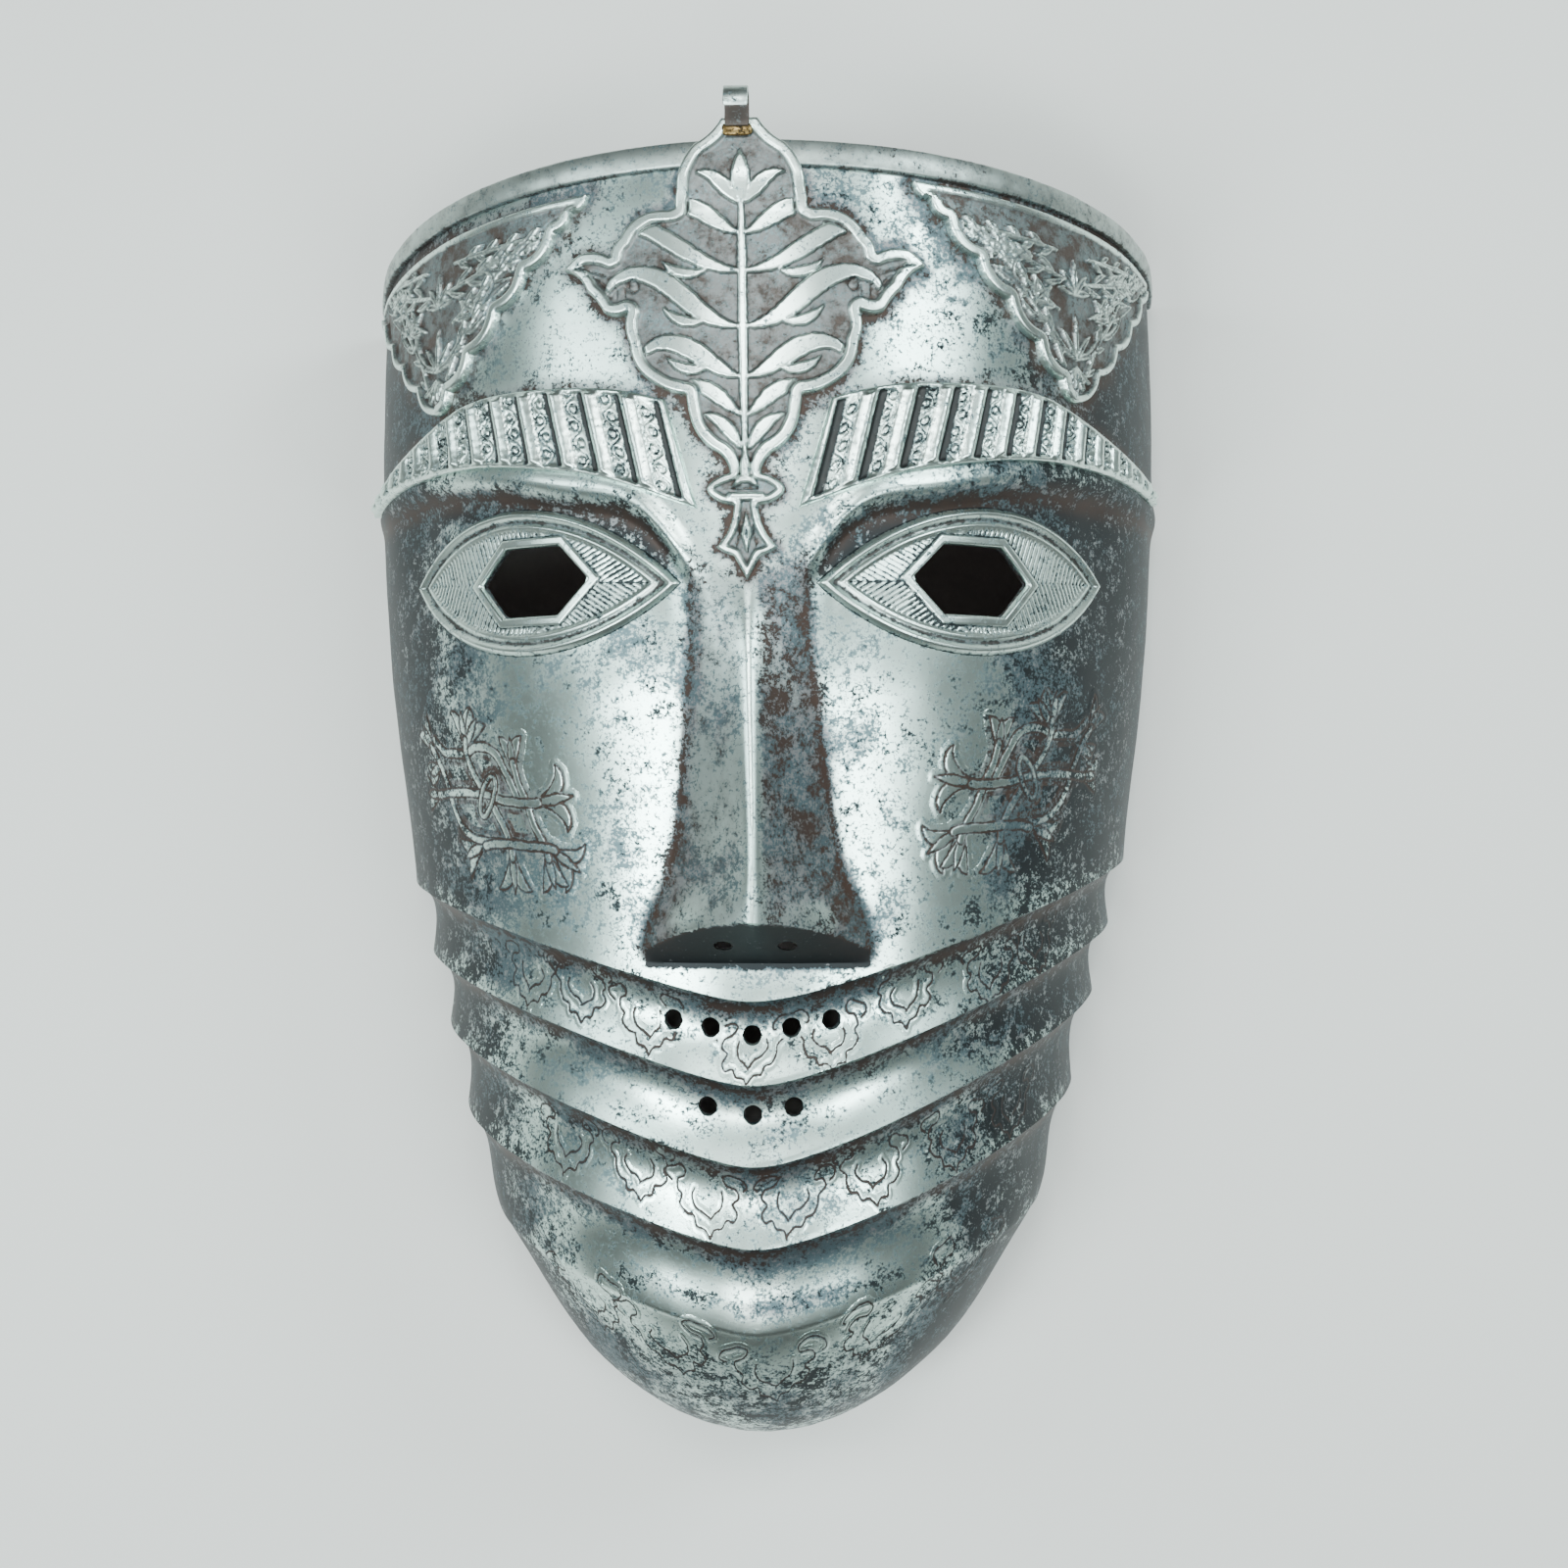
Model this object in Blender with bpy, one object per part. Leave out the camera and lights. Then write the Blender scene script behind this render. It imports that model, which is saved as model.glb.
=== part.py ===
# Iron war mask: one hammered sheet that covers the face, with plates laid on its forehead and brows.
# The mask lies face up on its back rim. +Z points out of the face, +Y to the top of the head and
# +X to the right of someone who looks at it. The back rim is on z = 0.

import bpy
import bmesh
import numpy as np
from mathutils import Matrix, Vector
from mathutils.geometry import delaunay_2d_cdt

MM = 0.001

# Sheet and plates
WALL = 1.5 * MM
PLATE = 1.2 * MM
BAND = 1.0 * MM
GAP = 0.3 * MM
WRAP_RADIUS = 85 * MM           # turns a distance round the face into an angle
RISE = 1.35 * MM                # added to every height below, so that the origin is in the middle

# The bare form: half an ellipse at each height, as wide and as deep as these rows say
SECTIONS = np.array([
    # height, half width, depth
    [126, 83.0, 87.0],
    [98, 84.2, 89.0],
    [70, 84.6, 90.0],
    [42, 83.6, 89.5],
    [14, 81.0, 87.0],
    [-13, 75.8, 84.0],
    [-43, 68.6, 80.0],
    [-73, 62.4, 75.0],
    [-103, 56.0, 70.0],
    [-133, 49.0, 66.0],
]) * MM
CHIN = -133 * MM
CHIN_WIDTH_START = -70 * MM     # below this height the outline rounds in towards the chin
CHIN_WIDTH_POWER = 2.05
CHIN_DEPTH_START = -86 * MM
CHIN_DEPTH_POWER = 2.4

# Top edge: highest over the nose, and it dips towards each end of the back rim
TOP = 122.8 * MM
TOP_DIP_LEFT = 13.5 * MM
TOP_DIP_RIGHT = 8.5 * MM
TOP_DIP_POWER = 1.9

# Pleats under the nose: each crest is a rounded V that climbs from the middle to both back rims
CRESTS = np.array([
    # height in the middle, climb on the left, climb on the right, how far it stands out
    [-32.3, 19.5, 24.0, 1.9],
    [-48.0, 20.3, 25.8, 1.8],
    [-63.4, 20.1, 26.6, 1.8],
    [-79.4, 18.1, 22.6, 1.7],
    [-96.8, 14.0, 16.0, 1.2],
]) * MM
CREST_ROUNDING = 0.08           # of the half width, at the point of the V
PLEAT_RISE = 34 * MM            # height over which the cheek swells to the first crest
LAST_FADE = 26 * MM             # height over which the last crest runs out on the chin
SAG = (2.6 * MM, 2.6 * MM, 2.6 * MM, 2.3 * MM, 1.5 * MM)    # depth of the flute under each crest
SAG_SHIFT = 0.74                # under 1 puts a flute's deepest line nearer its upper crest
LAST_SOFT = 6.5 * MM            # the last crest is a soft swelling over this height to either side
LAST_BEND = 0.34                # slope taken off each side of it

# Nose: a straight ridge with flat flanks and a slanted plate beneath
NOSE = np.array([
    # height, half width, how far the ridge stands out
    [50, 10.0, 0.0],
    [40, 10.3, 1.5],
    [33, 10.5, 4.5],
    [14, 12.2, 9.0],
    [-2, 14.0, 13.0],
    [-12, 16.6, 15.5],
    [-19, 19.4, 16.8],
    [-26, 20.0, 17.4],
]) * MM
NOSE_TIP = -17 * MM
NOSE_WING = -22.5 * MM
NOSE_BASE = -25.5 * MM
NOSE_HOLLOW = 0.25              # how far the flanks sag between ridge and cheek
NOSE_LEAN = 1.3 * MM            # the tip stands this far to the right of the middle
NOSE_TOP = 50 * MM

# Brow ridge: a rolled step over each eye socket
BROW_RIDGE = np.array([
    # distance from the middle, height of the ridge
    [0, 43],
    [10, 47],
    [18, 56],
    [31, 61],
    [44, 63.5],
    [60, 65.5],
    [74, 65],
    [90, 63],
]) * MM
SOCKET_DEPTH = 2.6 * MM
SOCKET_STEP = 5 * MM
SOCKET_FLOOR = 22 * MM          # height at which the socket runs out on the cheek
RIDGE_SWELL = 0.9 * MM

# Holes: eyes, nostrils and two rows of breath holes
EYE_HEIGHT = 44.5 * MM
EYE_ROUND = 44.6 * MM           # distance of the eye hole from the middle, round the face
EYE_HOLE_HALF_LENGTH = 13.2 * MM
EYE_HOLE_FLAT = 6.6 * MM
EYE_HOLE_HALF_HEIGHT = 6.4 * MM
BREATH_RADIUS = 1.9 * MM
BREATH_UPPER = [-14.5 * MM, -7.5 * MM, 0.3 * MM, 7.6 * MM, 15 * MM]
BREATH_UPPER_HEIGHT = -39.3 * MM
BREATH_LOWER = [-8.2 * MM, 0.3 * MM, 8 * MM]
BREATH_LOWER_HEIGHT = -54.4 * MM
BREATH_CLIMB = 0.19             # the rows follow the V of the pleats
NOSTRIL_RADIUS = 1.75 * MM
NOSTRIL_OFFSET = 5.7 * MM
CUTTER_REACH = 6 * MM

# Rim band along the top edge
BAND_WIDTH = 5 * MM
BAND_END_WIDTH = 3.2 * MM
BAND_END_DEGREES = 86

# Plates on the forehead, drawn flat: distance round the face, height, and bulge of the arc to the
# next row (a part of its chord, outwards if positive)
CARTOUCHE = [
    # round, height, bulge
    (3.4, 126.0, -0.08),
    (8.2, 121.4, 0.10),
    (11.6, 113.2, 0.04),
    (12.0, 110.3, -0.10),
    (14.0, 110.1, 0.16),
    (22.4, 105.6, 0.12),
    (24.2, 102.4, 0.10),
    (30.4, 103.4, 0.05),
    (33.8, 100.6, -0.12),
    (28.8, 96.0, -0.05),
    (25.6, 92.0, 0.12),
    (21.0, 91.8, 0.10),
    (20.6, 86.0, 0.14),
    (15.8, 78.4, 0.06),
    (10.4, 76.4, 0.02),
    (9.8, 72.6, 0.12),
    (4.6, 65.8, -0.10),
    (2.8, 62.4, 0.00),
    (4.2, 62.0, 0.55),
    (4.2, 57.0, 0.00),
    (2.2, 56.6, -0.10),
    (5.6, 49.2, 0.05),
    (2.4, 47.6, 0.00),
    (0.0, 43.2, 0.00),
]
CARTOUCHE_LEAN = -1.5 * MM      # sideways shift of its top, none at its lowest point
TEMPLE_INNER = 30.5 * MM
TEMPLE_OUTER = 106 * MM
TEMPLE_TIP = (68.2 * MM, 85.4 * MM)     # its height is counted before the drop
TEMPLE_INNER_LOBES = (0.09, 0.09, 0.17, 0.18, 0.19, 0.17, 0.11)   # shares of the side, top first
TEMPLE_OUTER_LOBES = (0.2, 0.2, 0.2, 0.2, 0.2)
TEMPLE_SCALLOP_DEPTH = 1.6 * MM
TEMPLE_DROP = {"left": 7.2 * MM, "right": 5.6 * MM}    # below the top edge
BROW_TOP = np.array([
    # round, height
    [15, 76.0], [23, 78.2], [34, 79.6], [47, 80.2], [60, 79.3], [70, 76.6], [82, 73.2], [95, 70.2],
    [108, 67.6],
]) * MM
BROW_BOTTOM = np.array([
    # round, height
    [9, 56.2], [18, 59.5], [28, 62.8], [41, 65.2], [54, 66.8], [68, 67.0], [82, 66.4], [96, 65.4],
    [108, 64.4],
]) * MM
BROW_TILT = {"left": -1.0 * MM, "right": 0.8 * MM}   # height gained at the outer end

# Hook at the top of the cartouche: a strip bent forwards over a ring or a helmet's edge
HOOK_WIDTH = 4.4 * MM
HOOK_STRIP = 1.1 * MM
HOOK_INNER_RADIUS = 2.0 * MM
HOOK_CENTRE_HEIGHT = 127.2 * MM
HOOK_FOOT = 124.2 * MM
HOOK_CURL_DEGREES = -22
HOOK_SIDE = -1.9 * MM


def clear_scene():
    for item in list(bpy.data.objects):
        bpy.data.objects.remove(item, do_unlink=True)


def spline(knots, values, at):
    # natural cubic spline through the knots, read at each place in the array
    order = np.argsort(knots)
    x, y = knots[order], values[order]
    step = np.diff(x)
    matrix = np.eye(len(x))
    right = np.zeros(len(x))
    for i in range(1, len(x) - 1):
        matrix[i, i - 1] = step[i - 1]
        matrix[i, i] = 2 * (step[i - 1] + step[i])
        matrix[i, i + 1] = step[i]
        right[i] = 6 * ((y[i + 1] - y[i]) / step[i] - (y[i] - y[i - 1]) / step[i - 1])
    bend = np.linalg.solve(matrix, right)
    at = np.clip(at, x[0], x[-1])
    k = np.clip(np.searchsorted(x, at) - 1, 0, len(x) - 2)
    a = (x[k + 1] - at) / step[k]
    b = 1 - a
    curve = (a ** 3 - a) * bend[k] + (b ** 3 - b) * bend[k + 1]
    return a * y[k] + b * y[k + 1] + curve * step[k] ** 2 / 6


def ramp(value, low, high):
    # 0 below low, 1 above high, a smooth S between them
    t = np.clip((value - low) / (high - low), 0, 1)
    return t * t * (3 - 2 * t)


def half_width(y):
    inward = np.clip((CHIN_WIDTH_START - y) / (CHIN_WIDTH_START - CHIN), 0, 1)
    wide = spline(SECTIONS[:, 0], SECTIONS[:, 1], y)
    return wide * np.sqrt(np.maximum(1 - inward ** CHIN_WIDTH_POWER, 0))


def depth(y):
    inward = np.clip((CHIN_DEPTH_START - y) / (CHIN_DEPTH_START - CHIN), 0, 1)
    deep = spline(SECTIONS[:, 0], SECTIONS[:, 2], y)
    return deep * np.sqrt(np.maximum(1 - inward ** CHIN_DEPTH_POWER, 0))


def top_edge(angle):
    part = np.abs(angle) / (np.pi / 2)
    dip = np.where(angle < 0, TOP_DIP_LEFT, TOP_DIP_RIGHT)
    return TOP - dip * part ** TOP_DIP_POWER


def crest(number, angle):
    middle, left, right, _ = CRESTS[number]
    side = np.abs(np.sin(angle))
    corner = CREST_ROUNDING
    vee = (np.sqrt(side ** 2 + corner ** 2) - corner) / (np.sqrt(1 + corner ** 2) - corner)
    return middle + np.where(angle < 0, left * vee, right * vee ** 1.15)


def pleats(angle, y):
    # flutes between crests: each drops steeply under its upper crest and sweeps out to the next one
    out = CRESTS[:, 3]
    lines = [crest(k, angle) for k in range(len(CRESTS))]
    swell = out[0] * np.clip((lines[0] + PLEAT_RISE - y) / PLEAT_RISE, 0, 1) ** 3
    result = np.where(y >= lines[0], swell, 0)
    for k in range(len(lines)):
        last = k == len(lines) - 1
        below = lines[k] - LAST_FADE if last else lines[k + 1]
        goal = 0 if last else out[k + 1]
        part = np.clip((lines[k] - y) / (lines[k] - below), 0, 1)
        shape = out[k] + (goal - out[k]) * part - SAG[k] * np.sin(np.pi * part ** SAG_SHIFT)
        result = np.where((y < lines[k]) & (y >= below), shape, result)
    near = np.maximum(LAST_SOFT - np.abs(y - lines[-1]), 0)
    return result - LAST_BEND * near ** 2 / (4 * LAST_SOFT)


def brow_and_socket(x, y):
    # the sheet drops from the rolled brow ridge into the eye socket, which fades on the cheek
    side = np.abs(x)
    line = spline(BROW_RIDGE[:, 0], BROW_RIDGE[:, 1], side)
    drop = ramp(line - y, 0, SOCKET_STEP)
    fade = ramp(y, SOCKET_FLOOR, line) * ramp(side, 6 * MM, 16 * MM) * (1 - ramp(side, 66 * MM, 80 * MM))
    ridge = RIDGE_SWELL * np.exp(-((y - line) / (3 * MM)) ** 2) * ramp(side, 8 * MM, 14 * MM)
    return ridge - SOCKET_DEPTH * drop * fade


def nose(x, y):
    # height over the face: two sagging flanks that meet in a ridge, cut off by the plate beneath
    centre = NOSE_LEAN * ramp(-y, -NOSE_TOP, -NOSE_TIP)
    half = spline(NOSE[:, 0], NOSE[:, 1], y)
    high = spline(NOSE[:, 0], NOSE[:, 2], y)
    across = np.clip(np.abs(x - centre) / half, 0, 1)
    bulge = 0.6 * ramp(-y, 8 * MM, 20 * MM)
    flank = (1 - across) * (1 - (NOSE_HOLLOW - bulge) * across)
    lower_edge = NOSE_TIP + (NOSE_WING - NOSE_TIP) * across ** 2
    under = np.clip((y - NOSE_BASE) / (lower_edge - NOSE_BASE), 0, 1)
    return np.maximum(high, 0) * flank * under * (y < NOSE_TOP)


def outward(angle, y):
    # direction that points straight out of the bare form
    reach = 0.05 * MM
    wide, deep = np.maximum(half_width(y), reach), np.maximum(depth(y), reach)
    wide_slope = (half_width(y + reach) - half_width(y - reach)) / (2 * reach)
    deep_slope = (depth(y + reach) - depth(y - reach)) / (2 * reach)
    s, c = np.sin(angle), np.cos(angle)
    vector = np.stack([s / wide, -(s * s * wide_slope / wide + c * c * deep_slope / deep), c / deep], -1)
    return vector / np.linalg.norm(vector, axis=-1, keepdims=True)


def face_point(angle, y, lift):
    # a point of the hammered face, lifted along the outward direction
    angle, y, lift = np.broadcast_arrays(angle, y, lift)
    s, c = np.sin(angle), np.cos(angle)
    bare = np.stack([half_width(y) * s, y, depth(y) * c], -1)
    hammered = pleats(angle, y) + brow_and_socket(bare[..., 0], y)
    point = bare + outward(angle, y) * (hammered + lift)[..., None]
    point[..., 2] += nose(bare[..., 0], y)
    return point


def material(name, colour, roughness):
    metal = bpy.data.materials.new(name)
    metal.use_nodes = True
    shader = metal.node_tree.nodes["Principled BSDF"]
    shader.inputs["Base Color"].default_value = (*colour, 1)
    shader.inputs["Roughness"].default_value = roughness
    shader.inputs["Metallic"].default_value = 1
    return metal


def add_object(name, verts, faces, metal):
    mesh = bpy.data.meshes.new(name)
    mesh.from_pydata([(x, y + RISE, z) for x, y, z in verts], [], faces)
    mesh.validate()
    item = bpy.data.objects.new(name, mesh)
    bpy.context.scene.collection.objects.link(item)
    work = bmesh.new()
    work.from_mesh(mesh)
    bmesh.ops.recalc_face_normals(work, faces=work.faces)
    work.to_mesh(mesh)
    work.free()
    if metal:
        mesh.materials.append(metal)
    mesh.shade_smooth()
    mesh.set_sharp_from_angle(angle=np.radians(35))
    return item


def between(first, second, count, ease=1.0):
    # rows that divide the stretch from one row of heights to the next, without the last
    return [first + (second - first) * (k / count) ** ease for k in range(count)]


def shell_rows(angle):
    # heights of the grid's rows at each angle, from the top edge down to the last row over the chin
    side = np.abs(np.sin(angle))
    climb = crest(0, angle) - CRESTS[0, 0]
    over_nose = ramp(side, 0.27, 0.6)
    top = top_edge(angle)
    x = np.abs(half_width(64 * MM) * np.sin(angle))
    ridge = np.maximum(spline(BROW_RIDGE[:, 0], BROW_RIDGE[:, 1], x), 54 * MM)
    forehead, brow, socket = ridge + 22 * MM, ridge + 7 * MM, ridge - SOCKET_STEP
    eye = 24 * MM + 0.12 * climb
    tip = NOSE_TIP + 0.8 * climb * over_nose - 4 * MM * np.minimum(side / 0.23, 1) ** 2 * (1 - over_nose)
    base = NOSE_BASE + 0.9 * climb * over_nose
    rows = between(top, forehead, 4) + between(forehead, brow, 2) + between(brow, socket, 5)
    rows += between(socket, eye, 4) + between(eye, tip, 5) + between(tip, base, 2)
    rows += between(base, crest(0, angle), 2)
    for k in range(len(CRESTS) - 1):
        upper, lower = crest(k, angle), crest(k + 1, angle)
        rows += [upper + (lower - upper) * part for part in (0, 0.09, 0.36, 0.7)]
    last = crest(len(CRESTS) - 1, angle)
    parts = [0, 0.08, 0.3, 0.5, 0.68, 0.83, 0.93, 0.98]
    rows += [last + (CHIN - last) * part for part in parts]
    return rows


def shell_columns():
    # angles of the grid's columns, closer together where the nose stands
    nose_side = [0, 1.6, 4.2, 7, 9.8, 12.4, 15]
    cheek = [19.5, 25, 30.5, 36.5, 43, 49.5, 56, 63, 70, 77, 84, 90]
    right = np.radians(nose_side + cheek)
    return np.concatenate([-right[:0:-1], right])


def face_sheet(metal):
    angle = shell_columns()
    rows = np.array(shell_rows(angle))
    across = np.broadcast_to(angle, rows.shape)
    outer = face_point(across, rows, 0.0)
    inner = face_point(across, rows, -WALL)
    height, width = rows.shape
    verts = list(outer.reshape(-1, 3)) + list(inner.reshape(-1, 3))
    chin_outer = len(verts)
    verts += [(0, CHIN, 0), (0, CHIN + WALL, 0)]
    chin_inner = chin_outer + 1
    skip = height * width

    def at(row, column, layer):
        return layer * skip + row * width + column

    faces = []
    for r in range(height - 1):
        for c in range(width - 1):
            quad = [(r, c), (r, c + 1), (r + 1, c + 1), (r + 1, c)]
            faces.append([at(i, j, 0) for i, j in quad])
            faces.append([at(i, j, 1) for i, j in reversed(quad)])
    for c in range(width - 1):
        faces.append([at(0, c, 0), at(0, c, 1), at(0, c + 1, 1), at(0, c + 1, 0)])
        faces.append([at(height - 1, c, 0), at(height - 1, c + 1, 0), chin_outer])
        faces.append([at(height - 1, c + 1, 1), at(height - 1, c, 1), chin_inner])
    for c in (0, width - 1):
        for r in range(height - 1):
            faces.append([at(r, c, 0), at(r + 1, c, 0), at(r + 1, c, 1), at(r, c, 1)])
        faces.append([at(height - 1, c, 0), chin_outer, chin_inner, at(height - 1, c, 1)])
    return add_object("mask_shell", verts, faces, metal)


def prism(outline, base, across, up, out):
    # a closed prism round a point: the outline lies in the plane of across and up
    count = len(outline)
    verts = []
    for end in (-CUTTER_REACH, CUTTER_REACH):
        verts += [base + across * a + up * b + out * end for a, b in outline]
    faces = [list(range(count)), list(range(2 * count - 1, count - 1, -1))]
    for k in range(count):
        n = (k + 1) % count
        faces.append([k, n, count + n, count + k])
    return verts, faces


def circle(radius, count=12):
    turns = [2 * np.pi * k / count for k in range(count)]
    return [(radius * np.cos(t), radius * np.sin(t)) for t in turns]


def place_on_face(x, y):
    # the point of the face over (x, y), with its across, up and outward directions
    angle = np.arcsin(x / half_width(np.array(y)))
    base = Vector(face_point(angle, y, -WALL / 2))
    out = Vector(outward(np.array(angle), np.array(y)))
    across = Vector((0, 1, 0)).cross(out).normalized()
    return base, across, out.cross(across), out


def hole_cutters():
    length, flat, high = EYE_HOLE_HALF_LENGTH, EYE_HOLE_FLAT, EYE_HOLE_HALF_HEIGHT
    hexagon = [(length, 0), (flat, high), (-flat, high), (-length, 0), (-flat, -high), (flat, -high)]
    spots = []
    for side in (-1, 1):
        x = half_width(np.array(EYE_HEIGHT)) * np.sin(side * EYE_ROUND / WRAP_RADIUS)
        spots.append((hexagon, *place_on_face(x, EYE_HEIGHT)))
    for x in BREATH_UPPER:
        spots.append((circle(BREATH_RADIUS), *place_on_face(x, BREATH_UPPER_HEIGHT + BREATH_CLIMB * abs(x))))
    for x in BREATH_LOWER:
        spots.append((circle(BREATH_RADIUS), *place_on_face(x, BREATH_LOWER_HEIGHT + BREATH_CLIMB * abs(x))))
    under = Vector((0, -0.9, 0.43)).normalized()
    across = Vector((1, 0, 0))
    for side in (-1, 1):
        x = NOSE_LEAN + side * NOSTRIL_OFFSET
        base = place_on_face(x, (NOSE_TIP + NOSE_BASE) / 2)[0]
        spots.append((circle(NOSTRIL_RADIUS), base, across, under.cross(across), under))
    verts, faces = [], []
    for spot in spots:
        more, rings = prism(*spot)
        faces += [[v + len(verts) for v in ring] for ring in rings]
        verts += more
    cutter = add_object("hole_cutters", verts, faces, None)
    cutter.hide_render = True
    cutter.display_type = "WIRE"
    return cutter


def cut_holes(shell, cutter):
    cut = shell.modifiers.new("holes", "BOOLEAN")
    cut.operation = "DIFFERENCE"
    cut.solver = "EXACT"
    cut.object = cutter


def rim_band(metal):
    # a strip bent along the top edge, narrower at its two ends
    limit = np.radians(BAND_END_DEGREES)
    angle = np.linspace(-limit, limit, 57)
    width = BAND_END_WIDTH + (BAND_WIDTH - BAND_END_WIDTH) * np.cos(angle)
    upper, lower = top_edge(angle) - 0.05 * MM, top_edge(angle) - width
    corners = [face_point(angle, upper, GAP), face_point(angle, upper, GAP + BAND),
               face_point(angle, lower, GAP + BAND), face_point(angle, lower, GAP)]
    verts = [ring[k] for k in range(len(angle)) for ring in corners]
    last = 4 * (len(angle) - 1)
    faces = [[3, 2, 1, 0], [last, last + 1, last + 2, last + 3]]
    for k in range(len(angle) - 1):
        for c in range(4):
            n = (c + 1) % 4
            faces.append([4 * k + c, 4 * k + n, 4 * k + 4 + n, 4 * k + 4 + c])
    return add_object("rim_band", verts, faces, metal)


def arc(start, end, bulge, count=4):
    # points from start up to end, not including it, on an arc that leaves its chord by bulge
    start, end = np.array(start), np.array(end)
    chord = end - start
    normal = np.array([-chord[1], chord[0]])
    parts = [k / count for k in range(count)] if bulge else [0]
    return [tuple(start + chord * t + normal * bulge * 4 * t * (1 - t)) for t in parts]


def cartouche_outline():
    right = []
    for (x, y, bulge), (next_x, next_y, _) in zip(CARTOUCHE, CARTOUCHE[1:]):
        right += arc((x * MM, y * MM), (next_x * MM, next_y * MM), bulge, 6 if bulge > 0.3 else 3)
    tip = (CARTOUCHE[-1][0] * MM, CARTOUCHE[-1][1] * MM)
    left = [(-x, y) for x, y in reversed(right)]
    lowest, highest = tip[1], CARTOUCHE[0][1] * MM
    points = right + [tip] + left
    return [(x + CARTOUCHE_LEAN * (y - lowest) / (highest - lowest), y) for x, y in points]


def scalloped(start, end, lobes, depth):
    # lobes along a straight side, each as wide as its share; narrow ones are shallower
    start, end = np.array(start), np.array(end)
    points, done = [], 0.0
    for share in lobes:
        here = start + (end - start) * done
        done += share
        there = start + (end - start) * min(done, 1.0)
        chord = np.linalg.norm(there - here)
        points += arc(here, there, max(depth, -0.2 * chord) / chord, 5)
    return points


def temple_outline(side):
    # the top runs along the rim band, and two scalloped sides meet in a tip below
    sign = -1 if side == "left" else 1

    def below_band(round_way):
        return round_way, float(top_edge(np.array(sign * round_way / WRAP_RADIUS))) - TEMPLE_DROP[side]

    inner, outer = below_band(TEMPLE_INNER), below_band(TEMPLE_OUTER)
    tip = (TEMPLE_TIP[0], TEMPLE_TIP[1] - TEMPLE_DROP[side])
    points = scalloped(inner, tip, TEMPLE_INNER_LOBES, -TEMPLE_SCALLOP_DEPTH)
    points += scalloped(tip, outer, TEMPLE_OUTER_LOBES, -TEMPLE_SCALLOP_DEPTH)
    span = TEMPLE_OUTER - TEMPLE_INNER
    return points + [below_band(TEMPLE_OUTER - span * k / 6) for k in range(6)]


def brow_outline(side):
    # two smooth edges that run from the nose to the temple
    edges = []
    for table in (BROW_BOTTOM, BROW_TOP):
        x = np.linspace(table[0, 0], table[-1, 0], 20)
        y = spline(table[:, 0], table[:, 1], x) + BROW_TILT[side] * x / table[-1, 0]
        edges.append(list(zip(x, y)))
    return edges[0] + edges[1][::-1]


def bent_plate(name, outline, sign, lift, thickness, grid, metal):
    # cuts the outline from a flat sheet, meshes it, and bends it on to the face
    outline = [Vector((x, y)) for x, y in outline]
    xs, ys = [p.x for p in outline], [p.y for p in outline]
    points = list(outline)
    for i in range(int((max(xs) - min(xs)) / grid)):
        for j in range(int((max(ys) - min(ys)) / grid)):
            points.append(Vector((min(xs) + grid * (i + 0.6), min(ys) + grid * (j + 0.45))))
    ring = [(k, (k + 1) % len(outline)) for k in range(len(outline))]
    flat, _, triangles, _, _, _ = delaunay_2d_cdt(points, ring, [], 1, 0.02 * MM)
    edges = {}
    for triangle in triangles:
        for a, b in zip(triangle, triangle[1:] + triangle[:1]):
            edges[(a, b)] = edges.get((a, b), 0) + 1
    border = [(a, b) for a, b in edges if (b, a) not in edges]
    used = sorted({v for triangle in triangles for v in triangle})
    index = {v: k for k, v in enumerate(used)}
    angle = np.array([sign * flat[v].x / WRAP_RADIUS for v in used])
    height = np.array([flat[v].y for v in used])
    low = face_point(angle, height, lift(height))
    high = face_point(angle, height, lift(height) + thickness)
    count = len(used)
    faces = [[index[v] + count for v in triangle] for triangle in triangles]
    faces += [[index[v] for v in reversed(triangle)] for triangle in triangles]
    faces += [[index[b] + count, index[a] + count, index[a], index[b]] for a, b in border]
    return add_object(name, list(low) + list(high), faces, metal)


def forehead_cartouche(metal):
    # it rides over the rim band near the top edge and lies on the sheet lower down
    def lift(y):
        return GAP + (BAND + GAP) * ramp(y, TOP - BAND_WIDTH - 9 * MM, TOP - BAND_WIDTH - 1 * MM)

    return bent_plate("forehead_cartouche", cartouche_outline(), 1, lift, PLATE, 5 * MM, metal)


def temple_plates(metal):
    for side, sign in (("left", -1), ("right", 1)):
        bent_plate("temple_plate_" + side, temple_outline(side), sign, lambda y: GAP + 0 * y, PLATE,
                   7 * MM, metal)


def brow_strips(metal):
    for side, sign in (("left", -1), ("right", 1)):
        bent_plate("brow_strip_" + side, brow_outline(side), sign, lambda y: GAP + 0 * y, PLATE,
                   4.5 * MM, metal)


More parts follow.
